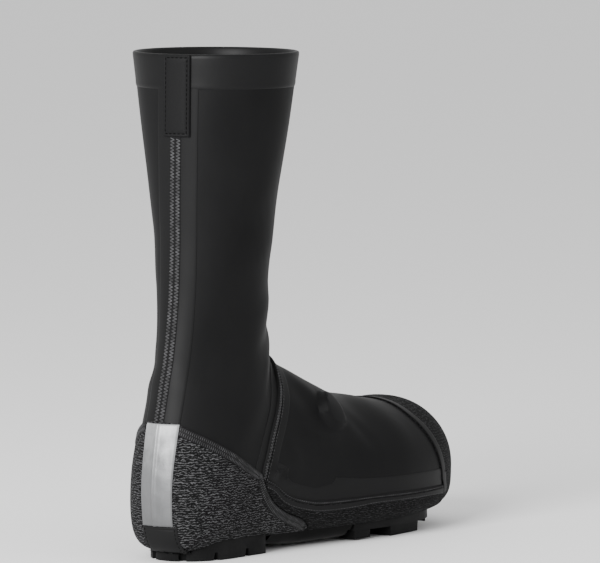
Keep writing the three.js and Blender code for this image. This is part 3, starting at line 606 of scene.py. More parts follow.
def on_side(line):
    """Stations and angles where a line of the side view meets the last, in the line's order."""
    grid_station, grid_angle = np.meshgrid(
        np.linspace(0, 16, 321), np.linspace(0, math.pi, 181), indexing="ij"
    )
    grid = last_point(grid_station, grid_angle)[..., 1:].reshape(-1, 2)
    target = smooth_line(line)
    target = np.stack([along(target[:, 0]), target[:, 1] * INSTEP_HEIGHT], axis=-1)
    nearest = [np.argmin(((grid - point) ** 2).sum(-1)) for point in target]
    station = grid_station.reshape(-1)[nearest]
    angle = grid_angle.reshape(-1)[nearest]
    for _ in range(8):
        miss = target - last_point(station, angle)[:, 1:]
        lengthwise, around = (slope[:, 1:] for slope in last_slopes(station, angle))
        matrix = np.stack([lengthwise, around], axis=-1)
        step = np.einsum("nij,nj->ni", np.linalg.pinv(matrix, rcond=1e-3), miss)
        station = np.clip(station + np.clip(step[:, 0], -0.1, 0.1), 0, LAST_SECTION)
        angle = np.clip(angle + np.clip(step[:, 1], -0.05, 0.05), 0, math.pi)
    found = np.linalg.norm(target - last_point(station, angle)[:, 1:], axis=-1) < LINE_MISS
    return station[found], np.degrees(angle[found])


def station_table(line, at_top=None, underneath=None):
    """A table of angle and station along a line that runs round the foot, with its ends."""
    stations, angles = on_side(line)
    order = np.argsort(angles)
    rows = [(angles[index], stations[index]) for index in order]
    if at_top is not None:
        rows.insert(0, (0.0, at_top))
    if underneath is not None:
        rows.append((180.0, underneath))
    return np.array(rows)


def read_table(rows, at):
    return np.interp(at, rows[:, 0], rows[:, 1])


COUNTER_TOP = station_table(COUNTER_TOP_LINE, underneath=COUNTER_TOP_END)
COUNTER_FRONT = station_table(COUNTER_FRONT_LINE, underneath=COUNTER_FRONT_END)


def rim_lift(points, height, roll, sides):
    """Height over the skin that rolls down within a short way of the sheet's open sides."""
    near = np.full(points.shape[:2], 1e9)
    for side in sides:
        order = {
            "start": points, "end": points[::-1],
            "left": points.transpose(1, 0, 2), "right": points.transpose(1, 0, 2)[::-1],
        }[side]
        steps = np.linalg.norm(np.diff(order, axis=0), axis=-1)
        run = np.concatenate([np.zeros((1, steps.shape[1])), np.cumsum(steps, axis=0)])
        if side in ("end", "right"):
            run = run[::-1]
        if side in ("left", "right"):
            run = run.T
        near = np.minimum(near, run)
    share = np.clip(near / roll, 0, 1)
    return height * (RIM_SHARE + (1 - RIM_SHARE) * np.sqrt(1 - (1 - share) ** 2))


def add_panel(name, stations, angles):
    """A closed panel of knit on the skin, rolled down at all four sides."""
    base = skin_point(stations, angles)
    lift = rim_lift(base, KNIT_LIFT, PANEL_ROLL, ("start", "end", "left", "right"))
    points = skin_point(stations, angles, lift)
    piece = add_sheet(name, points, last_normal(stations, angles))
    apply_modifier(
        piece, "SOLIDIFY", thickness=KNIT_LIFT * RIM_SHARE + PANEL_SINK, offset=-1.0
    )
    return piece


counter_share = np.linspace(-1, 1, COUNTER_COLUMNS + 1)
counter_angle = 180.0 + np.sign(counter_share) * (180.0 - COUNTER_SIDE) * (
    np.abs(counter_share) ** COUNTER_SPREAD
)
folded_angle = 180.0 - np.abs(180.0 - counter_angle)
counter_low = read_table(COUNTER_FRONT, folded_angle)
counter_high = read_table(COUNTER_TOP, folded_angle)
counter_rise = np.linspace(0, 1, COUNTER_ROWS + 1)[:, None]
counter_stations = counter_low + (counter_high - counter_low) * counter_rise
counter_angles = np.broadcast_to(np.radians(counter_angle), counter_stations.shape)
counter = add_panel("heel_counter_knit", counter_stations, counter_angles)
cut_openings(counter)
shade_smooth(counter)


def add_courses(material, spacing, waviness):
    """Level courses of the knit: wavy bands across the height, 0 to 1."""
    nodes = material.node_tree.nodes
    place = nodes.new("ShaderNodeTexCoord")
    bands = nodes.new("ShaderNodeTexWave")
    bands.wave_type = "BANDS"
    bands.bands_direction = "Z"
    bands.wave_profile = "SIN"
    bands.inputs["Scale"].default_value = math.pi / 10 / spacing
    bands.inputs["Distortion"].default_value = waviness
    bands.inputs["Detail"].default_value = 2.0
    bands.inputs["Detail Scale"].default_value = 1.6
    bands.inputs["Detail Roughness"].default_value = 0.6
    material.node_tree.links.new(place.outputs["Object"], bands.inputs["Vector"])
    return bands.outputs["Fac"]


def add_blend(material, first, second, share):
    """A weighted sum of two values."""
    nodes = material.node_tree.nodes
    links = material.node_tree.links
    blend = nodes.new("ShaderNodeMix")
    blend.data_type = "FLOAT"
    blend.inputs["Factor"].default_value = share
    links.new(first, blend.inputs["A"])
    links.new(second, blend.inputs["B"])
    return blend.outputs["Result"]


def new_melange(name, dark, light, cover, spacing):
    """Knit of black yarn with short wavy grey dashes along its level courses."""
    material = new_material(name, dark, 0.75, 0.08)
    courses = add_courses(material, spacing, 8.0)
    breaks = add_noise(material, (430.0, 430.0, 1050.0), 1.0, detail=2.5, distortion=0.8)
    dashes = add_blend(material, courses, breaks, 0.76)
    edge = 0.60 - 0.2 * cover
    middle = tuple(d + 0.4 * (l - d) for d, l in zip(dark, light))
    connect(material, add_ramp(material, dashes, [
        (edge - 0.04, dark),
        (edge + 0.01, middle),
        (edge + 0.08, light),
    ]), "Base Color")
    loops = add_noise(material, (1100.0, 1100.0, 1700.0), 1.0, detail=1.5)
    fine = add_bump(material, loops, 0.3 * MM, 0.7)
    connect(material, add_bump(material, dashes, 1.6 * MM, 1.0, fine), "Normal")
    return material


counter_material = new_melange(
    "coarse_melange_knit", (0.003, 0.003, 0.0032), (0.060, 0.060, 0.062), 0.25, 1.6 * MM
)
finish_piece(counter, counter_material, "melange_knit", "heel_counter")


# Side band: the same knit, finer and darker, in a band round the edge of the sole from the
# counter to the toe cap. It is sewn to the skin along its upper edge.
SIDE_LINE = [
    (0.236, 0.39), (0.27, 0.355), (0.312, 0.29), (0.37, 0.25), (0.43, 0.232), (0.58, 0.232),
    (0.74, 0.228), (0.853, 0.226), (0.93, 0.226),
]
CAP_LINE = [
    (0.8, 0.74), (0.787, 0.63), (0.8, 0.55), (0.825, 0.42), (0.847, 0.29), (0.862, 0.18),
    (0.874, 0.0),
]
side_stations, side_degrees = on_side(SIDE_LINE)
side_order = np.argsort(side_stations)
SIDE_EDGE = np.stack([side_stations[side_order], side_degrees[side_order]], axis=-1)
CAP_TOP_END = 5.17
CAP_UNDER_END = 3.95
CAP_EDGE = station_table(CAP_LINE, at_top=CAP_TOP_END, underneath=CAP_UNDER_END)
BAND_COLUMNS = 96
BAND_ROWS = 96
BAND_SETTLING = 8
BAND_JOIN = 0.02
BAND_FIRST_ANGLE = 120.0
BAND_CROWDING = 2.2

band_across = np.linspace(-1, 1, BAND_COLUMNS + 1)
band_length = np.linspace(0, 1, BAND_ROWS + 1)[:, None]
band_folded = np.full((BAND_ROWS + 1, BAND_COLUMNS + 1), BAND_FIRST_ANGLE)
for _ in range(BAND_SETTLING):
    band_start = read_table(CAP_EDGE, band_folded) + BAND_JOIN
    band_end = read_table(COUNTER_FRONT, band_folded) - BAND_JOIN
    band_stations = band_start + (band_end - band_start) * band_length
    side_angle = read_table(SIDE_EDGE, band_stations)
    # The superellipse crowds its points at the corner, so the shares are spread out again.
    crowd = np.sin(np.abs(band_across) * math.pi / 2) ** BAND_CROWDING
    band_folded = 180.0 - (180.0 - side_angle) * crowd
band_angles = np.radians(180.0 - np.sign(band_across) * (180.0 - band_folded))
side_band = add_panel("side_band_knit", band_stations, band_angles)
cut_openings(side_band)
shade_smooth(side_band)
band_material = new_melange(
    "fine_melange_knit", (0.002, 0.002, 0.0021), (0.024, 0.024, 0.025), 0.15, 1.4 * MM
)
finish_piece(side_band, band_material, "knit", "side_band")


# Toe cap: hard-wearing textured knit drawn over the toe, with a strip of smooth tape along
# its rear edge. It is bonded on the skin.
CAP_COLUMNS = 150
CAP_ROWS = 64
CAP_TIP_ROWS = 6
CAP_TAPE_WIDTH = 6.5 * MM
CAP_TAPE_LIFT = 0.25 * MM
CAP_LIFT = 1.1 * MM
CAP_ROLL = 3.0 * MM

cap_angle = np.array(even_angles(4.0, math.pi, -math.pi, CAP_COLUMNS + 1))
cap_edge = read_table(CAP_EDGE, np.degrees(np.abs(cap_angle)))
cap_share = np.linspace(0, 1, CAP_ROWS + 1)[:, None]
cap_stations = cap_edge * cap_share
cap_angles = np.broadcast_to(cap_angle, cap_stations.shape)
cap_base = skin_point(cap_stations, cap_angles)
cap_lift = rim_lift(cap_base, CAP_LIFT, CAP_ROLL, ("end",))
cap_points = skin_point(cap_stations, cap_angles, cap_lift)
cap_points[:, -1] = cap_points[:, 0]
cap_points = np.concatenate([closed_tip(cap_points[0], CAP_TIP_ROWS, TIP_BULGE), cap_points])
cap = add_sheet("toe_cap_knit", cap_points)
weld(cap)
apply_modifier(cap, "SOLIDIFY", thickness=CAP_LIFT * RIM_SHARE + PANEL_SINK, offset=-1.0)
cut_openings(cap)
shade_smooth(cap)
cap_material = new_melange(
    "hard_wearing_knit", (0.0025, 0.0025, 0.0026), (0.020, 0.020, 0.021), 0.25, 1.7 * MM
)
finish_piece(cap, cap_material, "knit", "toe_cap")
for cutter in opening_cutters:
    bpy.data.objects.remove(cutter)


# Seam tapes: thin smooth strips bonded over the joins of the skin, beside the seams at the
# back, over the instep and on both sides of the side seams, and round the rear edge of the
# toe cap.
TAPE_LIFT = 0.35 * MM
TAPE_SPACING = 1.6 * MM
WALK_STEPS = 8


def slide(station, angle, direction, distance):
    """Walks over the last in a direction of space, and returns the station and angle there."""
    station = np.array(station, float)
    angle = np.array(angle, float)
    for _ in range(WALK_STEPS):
        lengthwise, around = last_slopes(station, angle)
        move = direction * (np.asarray(distance) / WALK_STEPS)[..., None]
        long_long = (lengthwise * lengthwise).sum(-1)
        round_round = (around * around).sum(-1)
        long_round = (lengthwise * around).sum(-1)
        move_long = (lengthwise * move).sum(-1)
        move_round = (around * move).sum(-1)
        fall = np.maximum(long_long * round_round - long_round * long_round, 1e-16)
        station = station + (move_long * round_round - move_round * long_round) / fall
        angle = angle + (move_round * long_long - move_long * long_round) / fall
    return np.clip(station, 0, LAST_SECTION), angle


def spread_line(stations, angles, offsets):
    """Stations and angles of lines beside a line on the last, each at an offset to its left."""
    middle = last_point(stations, angles)
    tangent = np.gradient(middle, axis=0)
    tangent /= np.maximum(np.linalg.norm(tangent, axis=-1, keepdims=True), 1e-12)
    left = np.cross(last_normal(stations, angles), tangent)
    count = len(offsets)
    wide_stations = np.repeat(np.asarray(stations, float)[:, None], count, axis=1)
    wide_angles = np.repeat(np.asarray(angles, float)[:, None], count, axis=1)
    direction = np.repeat(left[:, None, :], count, axis=1)
    distance = np.broadcast_to(np.asarray(offsets, float), wide_stations.shape)
    return slide(wide_stations, wide_angles, direction, distance)


def resample(stations, angles, spacing):
    """The same line with its points evenly apart."""
    points = last_point(stations, angles)
    steps = np.linalg.norm(np.diff(points, axis=0), axis=-1)
    run = np.concatenate([[0.0], np.cumsum(steps)])
    even = np.linspace(0, run[-1], max(int(round(run[-1] / spacing)), 2) + 1)
    return np.interp(even, run, stations), np.interp(even, run, angles)


def add_strip(name, stations, angles, offsets, lifts, sink=PANEL_SINK):
    """A closed strip along a line, with its cross section given by offsets and lifts."""
    wide_stations, wide_angles = spread_line(stations, angles, offsets)
    lifts = np.broadcast_to(np.asarray(lifts, float), wide_stations.shape)
    points = skin_point(wide_stations, wide_angles, lifts)
    piece = add_sheet(name, points, last_normal(wide_stations, wide_angles))
    apply_modifier(piece, "SOLIDIFY", thickness=sink, offset=-1.0)
    shade_smooth(piece)
    return piece


def flat_section(near, far, lift, steps=8, edge=0.4 * MM):
    """Offsets and lifts of a flat strip with small round edges."""
    inside = np.linspace(near + edge, far - edge, steps)
    offsets = np.concatenate([[near, near + edge * 0.3], inside, [far - edge * 0.3, far]])
    lifts = np.full(len(offsets), lift)
    lifts[[0, -1]] = lift * 0.15
    lifts[[1, -2]] = lift * 0.75
    return offsets, lifts


def on_back(x, z):
    """Station and angle of the point at the back with this x and z."""
    x, z = np.broadcast_arrays(np.asarray(x, float), np.asarray(z, float))
    fine = np.linspace(11.5, LAST_SECTION, 400)
    heights = last_point(fine, math.pi)[:, 2]
    station = np.interp(z, heights, fine)
    half = section_at(station)[..., 4]
    angle = math.pi - np.arcsin(np.clip(x / half, -0.9, 0.9))
    for _ in range(12):
        point = last_point(station, angle)
        lengthwise, around = last_slopes(station, angle)
        miss_x = x - point[..., 0]
        miss_z = z - point[..., 2]
        fall = lengthwise[..., 0] * around[..., 2] - lengthwise[..., 2] * around[..., 0]
        fall = np.where(np.abs(fall) < 1e-9, 1e-9, fall)
        step_t = (miss_x * around[..., 2] - miss_z * around[..., 0]) / fall
        step_a = (lengthwise[..., 0] * miss_z - lengthwise[..., 2] * miss_x) / fall
        station = np.clip(station + np.clip(step_t, -0.3, 0.3), 0, LAST_SECTION)
        angle = angle + np.clip(step_a, -0.2, 0.2)
    return station, angle


TAB_TOP_SHIFT = 8.3 * MM
TAB_BOTTOM_SHIFT = 5.7 * MM
TAB_BOTTOM = COLLAR_HEIGHT - 52 * MM
BACK_TAPE_HALF = 15 * MM
# Columns: height above the instep as a share of the shaft's rise, and sideways shift as a
# share of the tab's shift at its foot.
BACK_SEAM_LINE = [
    (0.999, 1.45), (0.745, 0.93), (0.53, 0.5), (0.27, 0.35), (0.03, 0.15), (-0.17, 0.03),
    (-0.24, 0.0),
]
BACK_SEAM_TOP = 0.999
BACK_SEAM_FOOT = -0.19
BACK_SMOOTHING = 21
back_heights = np.linspace(BACK_SEAM_TOP, BACK_SEAM_FOOT, 120)
back_line = np.array(sorted(BACK_SEAM_LINE))
back_shift = np.interp(back_heights, back_line[:, 0], back_line[:, 1]) * TAB_BOTTOM_SHIFT
back_kernel = np.hanning(BACK_SMOOTHING) / np.hanning(BACK_SMOOTHING).sum()
back_shift = np.pad(back_shift, BACK_SMOOTHING // 2, mode="edge")
back_shift = np.convolve(back_shift, back_kernel, mode="valid")
back_stations, back_angles = on_back(back_shift, INSTEP_HEIGHT + back_heights * SHAFT_RISE)
back_stations, back_angles = resample(back_stations, back_angles, TAPE_SPACING)

INSTEP_LINE = [
    (0.236, 0.39), (0.255, 0.5), (0.277, 0.61), (0.312, 0.73), (0.338, 0.82), (0.362, 0.93),
    (0.4, 1.06),
]
INSTEP_TOP = 10.71
INSTEP_CUT = 12.0
half_stations, half_degrees = on_side(INSTEP_LINE)
half_kept = half_degrees > INSTEP_CUT
half_stations = np.append(half_stations[half_kept], INSTEP_TOP)
half_angles = np.radians(np.append(half_degrees[half_kept], 0.0))
instep_stations, instep_angles = resample(
    np.concatenate([half_stations, half_stations[-2::-1]]),
    np.concatenate([half_angles, -half_angles[-2::-1]]), TAPE_SPACING,
)

tape_material = new_material("smooth_seam_tape", (0.0055, 0.0055, 0.0057), 0.5, 0.09)
tape_grain = add_noise(tape_material, (1, 1, 1), 1700.0, detail=2.0)
connect(tape_material, add_bump(tape_material, tape_grain, 0.05 * MM, 0.4), "Normal")

back_tape = add_strip(
    "back_tape", back_stations, back_angles,
    *flat_section(-BACK_TAPE_HALF, BACK_TAPE_HALF, TAPE_LIFT, 20),
)
finish_piece(back_tape, tape_material, "tape")
for tape_name, tape_near, tape_far in (
    ("instep_tape_behind", 3.0 * MM, 10.4 * MM), ("instep_tape_front", -9.6 * MM, -2.8 * MM)
):
    instep_tape = add_strip(
        tape_name, instep_stations, instep_angles, *flat_section(tape_near, tape_far, TAPE_LIFT)
    )
    finish_piece(instep_tape, tape_material, "tape")

SIDE_RUN_REAR = 10.55
SIDE_RUN_FRONT = 4.30
SIDE_TAPE_NEAR = 1.0 * MM
SIDE_TAPE_FAR = 11.0 * MM
HEM_NEAR = 1.7 * MM
HEM_FAR = 5.8 * MM
HEM_LIFT = KNIT_LIFT - 0.1 * MM
side_runs = {}
for side_name, side in (("outer", 1), ("inner", -1)):
    run_stations = np.linspace(SIDE_RUN_REAR, SIDE_RUN_FRONT, 160)
    run_angles = side * np.radians(read_table(SIDE_EDGE, run_stations))
    side_runs[side_name] = (side, *resample(run_stations, run_angles, TAPE_SPACING))
    side, run_stations, run_angles = side_runs[side_name]
    offsets, lifts = flat_section(SIDE_TAPE_NEAR, SIDE_TAPE_FAR, TAPE_LIFT, 10)
    side_tape = add_strip(
        "side_tape_" + side_name, run_stations, run_angles, side * offsets, lifts
    )
    finish_piece(side_tape, tape_material, "tape")
    offsets, lifts = flat_section(-HEM_FAR, -HEM_NEAR, TAPE_LIFT, 6)
    side_hem = add_strip(
        "side_hem_" + side_name, run_stations, run_angles, side * offsets,
        HEM_LIFT + lifts, sink=0.8 * MM,
    )
    finish_piece(side_hem, tape_material, "tape")

cap_line_angles = np.radians(np.linspace(104.0, -104.0, 181))
cap_line_stations = read_table(CAP_EDGE, np.abs(np.degrees(cap_line_angles)))
cap_line_stations, cap_line_angles = resample(cap_line_stations, cap_line_angles, TAPE_SPACING)
cap_offsets, cap_lifts = flat_section(0.2 * MM, CAP_TAPE_WIDTH, CAP_TAPE_LIFT, 8, CAP_ROLL / 2)
cap_tape = add_strip(
    "toe_cap_tape", cap_line_stations, cap_line_angles, -cap_offsets,
    CAP_LIFT + cap_lifts - 0.1 * MM, sink=0.8 * MM,
)
finish_piece(cap_tape, tape_material, "tape")


# Seams: flat-lock seams with grey thread. The back one runs from the tab to the counter, the
# instep one is a double ridge, and the side ones join the side bands to the skin.
seam_material = new_material("flat_lock_seam", (0.006, 0.006, 0.0062), 0.7, 0.08)
seam_yarn = add_noise(seam_material, (900.0, 900.0, 900.0), 1.0, detail=2.0)
connect(seam_material, add_bump(seam_material, seam_yarn, 0.3 * MM, 0.8), "Normal")

seam_offsets = np.array([-3.9, -3.7, -3.2, -2.0, -0.7, 0.0, 0.7, 2.0, 3.2, 3.7, 3.9]) * MM
seam_lifts = np.array([0.2, 0.55, 0.8, 0.95, 0.8, 0.65, 0.8, 0.95, 0.8, 0.55, 0.2]) * MM
back_seam = add_strip("back_flat_seam", back_stations, back_angles, seam_offsets, seam_lifts)
finish_piece(back_seam, seam_material, "seam", "back_seam")

rope_offsets = np.array([
    -3.3, -3.1, -2.5, -1.7, -1.0, -0.6, -0.2, 0.5, 1.5, 2.6, 3.3, 3.5,
]) * MM
rope_lifts = np.array([0.2, 0.9, 1.45, 1.45, 0.9, 0.6, 1.2, 1.9, 2.05, 1.8, 0.9, 0.2]) * MM
instep_seam = add_strip(
    "instep_double_seam", instep_stations, instep_angles, rope_offsets, rope_lifts, sink=0.9 * MM
)
finish_piece(instep_seam, seam_material, "seam", "instep_seam")

side_offsets = np.array([-1.8, -1.6, -1.1, -0.4, 0.4, 1.1, 1.6, 1.8]) * MM
side_lifts = np.array([0.4, 1.2, 1.75, 2.0, 1.9, 1.4, 0.9, 0.2]) * MM
for side_name, (side, run_stations, run_angles) in side_runs.items():
    side_seam = add_strip(
        "side_flat_seam_" + side_name, run_stations, run_angles, side * side_offsets, side_lifts
    )
    finish_piece(side_seam, seam_material, "seam", "side_seam_" + side_name)


# Thread of the seams: short grey stitches that lie over the seams, some across, some along
# and some slanting, as the sewing machine lays them.
THREAD_RADIUS = 0.28 * MM

bpy.ops.object.select_all(action="DESELECT")
bpy.ops.mesh.primitive_uv_sphere_add(segments=6, ring_count=4, radius=1.0)
one_stitch = bpy.context.object
STITCH_CORNERS = np.array([tuple(vertex.co) for vertex in one_stitch.data.vertices])
STITCH_FACES = [tuple(face.vertices) for face in one_stitch.data.polygons]
bpy.data.objects.remove(one_stitch)


def add_stitches(name, starts, ends, normals, radius, material, slot):
    """One joined mesh with a stitch from each start to its end."""
    corners = []
    faces = []
    for start, end, normal in zip(starts, ends, normals):
        axis = end - start
        length = np.linalg.norm(axis)
        if length < 1e-6:
            continue
        axis = axis / length
        side = np.cross(normal, axis)
        side /= max(np.linalg.norm(side), 1e-9)
        height = np.cross(axis, side)
        base = len(corners) * len(STITCH_CORNERS)
        local = STITCH_CORNERS * (radius, radius * 0.8, length / 2 + radius * 0.4)
        shape = local[:, :1] * side + local[:, 1:2] * height + local[:, 2:] * axis
        corners.append(shape + (start + end) / 2)
        faces.extend(tuple(base + index for index in face) for face in STITCH_FACES)
    mesh = bpy.data.meshes.new(name)
    mesh.from_pydata(np.concatenate(corners).tolist(), [], faces)
    piece = bpy.data.objects.new(name, mesh)
    bpy.context.collection.objects.link(piece)
    shade_smooth(piece, 80.0)
    finish_piece(piece, material, slot)
    return piece


def seam_stitches(name, line, pitch, pattern, lift, material, radius=THREAD_RADIUS, slot="seam"):
    """Stitches along a line. The pattern holds start and end as (steps along, offset)."""
    stations, angles = resample(*line, pitch)
    offsets = sorted({offset for pair in pattern for _, offset in pair})
    wide_stations, wide_angles = spread_line(stations, angles, offsets)
    points = skin_point(wide_stations, wide_angles, np.full(wide_stations.shape, lift))
    normals = last_normal(wide_stations, wide_angles)
    rows = np.arange(len(stations))
    starts, ends, ups = [], [], []
    for index in range(len(stations) - 1):
        for (from_step, from_offset), (to_step, to_offset) in pattern:
            pair = []
            for step, offset in ((from_step, from_offset), (to_step, to_offset)):
                at = min(index + step, len(stations) - 1)
                column = offsets.index(offset)
                pair.append([np.interp(at, rows, points[:, column, k]) for k in range(3)])
            starts.append(np.array(pair[0]))
            ends.append(np.array(pair[1]))
            ups.append(normals[index, offsets.index(from_offset)])
    return add_stitches(name, starts, ends, ups, radius, material, slot)


thread_material = new_material("grey_thread", (0.060, 0.060, 0.062), 0.6, 0.25)
thread_shade = add_noise(thread_material, (220.0, 220.0, 220.0), 1.0, detail=2.0)
connect(thread_material, add_ramp(thread_material, thread_shade, [
    (0.35, (0.014, 0.014, 0.0145)),
    (0.65, (0.045, 0.045, 0.047)),
]), "Base Color")
dark_thread_material = new_material("dark_thread", (0.0012, 0.0012, 0.0012), 0.6, 0.05)

back_covered = back_stations < on_back(0.0, TAB_BOTTOM - 0.5 * MM)[0]
back_open = (back_stations[back_covered], back_angles[back_covered])
seam_stitches("back_seam_thread", back_open, 2.2 * MM, [
    ((0.0, -3.6 * MM), (0.5, -0.5 * MM)),
    ((0.5, -0.5 * MM), (1.0, -3.6 * MM)),
    ((0.2, 0.5 * MM), (0.7, 3.6 * MM)),
    ((0.7, 3.6 * MM), (1.2, 0.5 * MM)),
], 0.95 * MM, thread_material, radius=0.44 * MM)
seam_stitches("instep_seam_thread", (instep_stations, instep_angles), 2.0 * MM, [
    ((0.0, 0.1 * MM), (0.5, 3.0 * MM)),
    ((0.5, 3.0 * MM), (1.0, 0.1 * MM)),
], 2.0 * MM, thread_material, radius=0.34 * MM)
seam_stitches("instep_seam_thread_front", (instep_stations, instep_angles), 2.2 * MM, [
    ((0.1, -2.1 * MM), (0.7, -1.7 * MM)),
], 1.5 * MM, thread_material, radius=0.38 * MM)
for side_name, (side, run_stations, run_angles) in side_runs.items():
    seam_stitches("side_seam_thread_" + side_name, (run_stations, run_angles), 2.1 * MM, [
        ((0.1, -side * 0.4 * MM), (0.7, side * 0.5 * MM)),
    ], 1.95 * MM, thread_material)
    seam_stitches("side_hem_thread_" + side_name, (run_stations, run_angles), 2.4 * MM, [
        ((0.1, -side * 5.0 * MM), (0.7, -side * 5.0 * MM)),
    ], KNIT_LIFT + 0.25 * MM, thread_material, radius=0.26 * MM)


# Overlocked edge of the counter: a tape with close threads along the counter's upper edge,
# from the reflective strip to the side, and on down the front of the counter.
EDGE_BAND_WIDTH = 6.4 * MM
EDGE_BAND_START = 164.0
EDGE_BAND_END = 125.0
EDGE_BAND_LIFT = 0.5 * MM
EDGE_SMOOTHING = 31

for side_name, side in (("outer", 1), ("inner", -1)):
    top_stations, top_degrees = on_side(COUNTER_TOP_LINE)
    front_stations, front_degrees = on_side(COUNTER_FRONT_LINE)
    behind = top_degrees < EDGE_BAND_START
    before = (front_degrees < EDGE_BAND_END) & (front_stations < top_stations[-1] - 0.02)
    edge_stations = np.concatenate([top_stations[behind], front_stations[before]])
    edge_degrees = np.concatenate([top_degrees[behind], front_degrees[before]])
    kernel = np.hanning(EDGE_SMOOTHING) / np.hanning(EDGE_SMOOTHING).sum()
    margin = EDGE_SMOOTHING // 2
    padded_stations = np.pad(edge_stations, margin, mode="edge")
    padded_degrees = np.pad(edge_degrees, margin, mode="edge")
    smooth_stations = np.convolve(padded_stations, kernel, mode="valid")
    smooth_degrees = np.convolve(padded_degrees, kernel, mode="valid")
    edge_line = resample(smooth_stations, side * np.radians(smooth_degrees), 1.4 * MM)
    edge_offsets, edge_lifts = flat_section(0.1 * MM, EDGE_BAND_WIDTH, EDGE_BAND_LIFT, 7)
    edge_band = add_strip(
        "counter_edge_" + side_name, *edge_line, -side * edge_offsets,
        KNIT_LIFT + edge_lifts - 0.2 * MM, sink=0.9 * MM,
    )
    finish_piece(edge_band, tape_material, "seam")
    seam_stitches("counter_edge_thread_" + side_name, edge_line, 1.35 * MM, [
        ((0.0, -side * 0.7 * MM), (0.15, -side * 3.1 * MM)),
        ((0.5, -side * 3.4 * MM), (0.7, -side * 5.9 * MM)),
    ], KNIT_LIFT + 0.3 * MM, thread_material, radius=0.25 * MM)


# Cuff: a smooth taped hem round the collar, folded over the rim of the skin to the inside.
# Its lower edge shows as a fine line on the shaft.
CUFF_COLUMNS = 144
# Cross section of the hem. Columns: height, and offset outward from the skin's face, in
# millimetres.
CUFF_PROFILE = [
    (301.0, 0.05), (301.3, 0.30), (302.0, 0.42), (303.0, 0.50), (304.2, 0.42), (306.0, 0.36),
    (310.0, 0.38), (316.0, 0.42), (320.5, 0.48), (322.4, 0.35), (323.2, -0.2), (323.5, -1.1),
    (323.2, -2.3), (322.2, -2.95), (319.0, -3.0), (311.0, -3.0), (309.0, -2.9),
    (308.8, -2.1), (304.8, -1.5),
]

collar_fine = np.linspace(LAST_SECTION - 1, LAST_SECTION, 200)
collar_heights = last_point(collar_fine, math.pi)[:, 2]
cuff_angles = even_angles(LAST_SECTION, math.pi, -math.pi, CUFF_COLUMNS + 1)
cuff_rows = []
for height, offset in CUFF_PROFILE + CUFF_PROFILE[:1]:
    station = np.interp(min(height * MM, COLLAR_HEIGHT), collar_heights, collar_fine)
    row = skin_point(np.full(CUFF_COLUMNS + 1, station), cuff_angles, offset * MM)
    row[:, 2] = height * MM
    row[-1] = row[0]
    cuff_rows.append(row)
cuff = add_sheet("cuff_hem", np.array(cuff_rows))
weld(cuff)
shade_smooth(cuff, 50.0)
cuff_material = new_material("bonded_hem_tape", (0.005, 0.005, 0.0052), 0.45, 0.10)
cuff_weave = add_noise(cuff_material, (300.0, 300.0, 120.0), 1.0, detail=2.0)
connect(cuff_material, add_bump(cuff_material, cuff_weave, 0.12 * MM, 0.4), "Normal")
finish_piece(cuff, cuff_material, "tape", "cuff")


# Tab: a folded tape label sewn flat over the top of the back seam, with a line of dark
# stitches a little inside its edge. It is bare.
TAB_HALF = 9.25 * MM
TAB_OUTSIDE = 2.35 * MM
TAB_TOP = COLLAR_HEIGHT + 0.4 * MM
TAB_STITCH_INSET = 2.0 * MM
TAB_COLUMNS = 40
TAB_ROWS = 96


def tab_place(across, rise):
    """Station and angle on the back for a place on the tab, in metres from its foot."""
    share = rise / (COLLAR_HEIGHT - TAB_BOTTOM)
    shift = TAB_BOTTOM_SHIFT + (TAB_TOP_SHIFT - TAB_BOTTOM_SHIFT) * share
    return on_back(shift + across, np.minimum(TAB_BOTTOM + rise, COLLAR_HEIGHT - 0.1 * MM))


tab_across = np.linspace(-TAB_HALF, TAB_HALF, TAB_COLUMNS + 1)[None, :]
tab_rise = np.linspace(0, TAB_TOP - TAB_BOTTOM, TAB_ROWS + 1)[:, None]
tab_stations, tab_angles = tab_place(*np.broadcast_arrays(tab_across, tab_rise))
tab_edge = np.minimum(
    TAB_HALF - np.abs(tab_across), np.minimum(tab_rise, TAB_TOP - TAB_BOTTOM - tab_rise)
)
tab_round = np.sqrt(np.clip(1 - (1 - np.clip(tab_edge / (0.7 * MM), 0, 1)) ** 2, 0, 1))
tab_groove = np.exp(-(((tab_edge - TAB_STITCH_INSET) / (0.55 * MM)) ** 2))
tab_pillow = 0.25 * MM * np.clip((tab_edge - TAB_STITCH_INSET) / (3 * MM), 0, 1)
tab_fold = 0.35 * MM * np.exp(-(((tab_across - TAB_HALF + 0.8 * MM) / (0.6 * MM)) ** 2))
tab_lift = TAB_OUTSIDE - 0.9 * MM * (1 - tab_round) - 0.35 * MM * tab_groove
tab_lift = tab_lift + tab_pillow + tab_fold
tab_points = skin_point(tab_stations, tab_angles, tab_lift)
tab_points[..., 2] += np.maximum(TAB_BOTTOM + tab_rise - COLLAR_HEIGHT + 0.1 * MM, 0)
tab = add_sheet("collar_tab", tab_points, last_normal(tab_stations, tab_angles))
apply_modifier(tab, "SOLIDIFY", thickness=1.3 * MM, offset=-1.0)
shade_smooth(tab, 60.0)
tab_material = new_material("woven_label_tape", (0.005, 0.005, 0.0052), 0.6, 0.08)
tab_weave = add_noise(tab_material, (500.0, 500.0, 1500.0), 1.0, detail=2.0)
connect(tab_material, add_bump(tab_material, tab_weave, 0.15 * MM, 0.6), "Normal")
finish_piece(tab, tab_material, "tape", "back_tab")

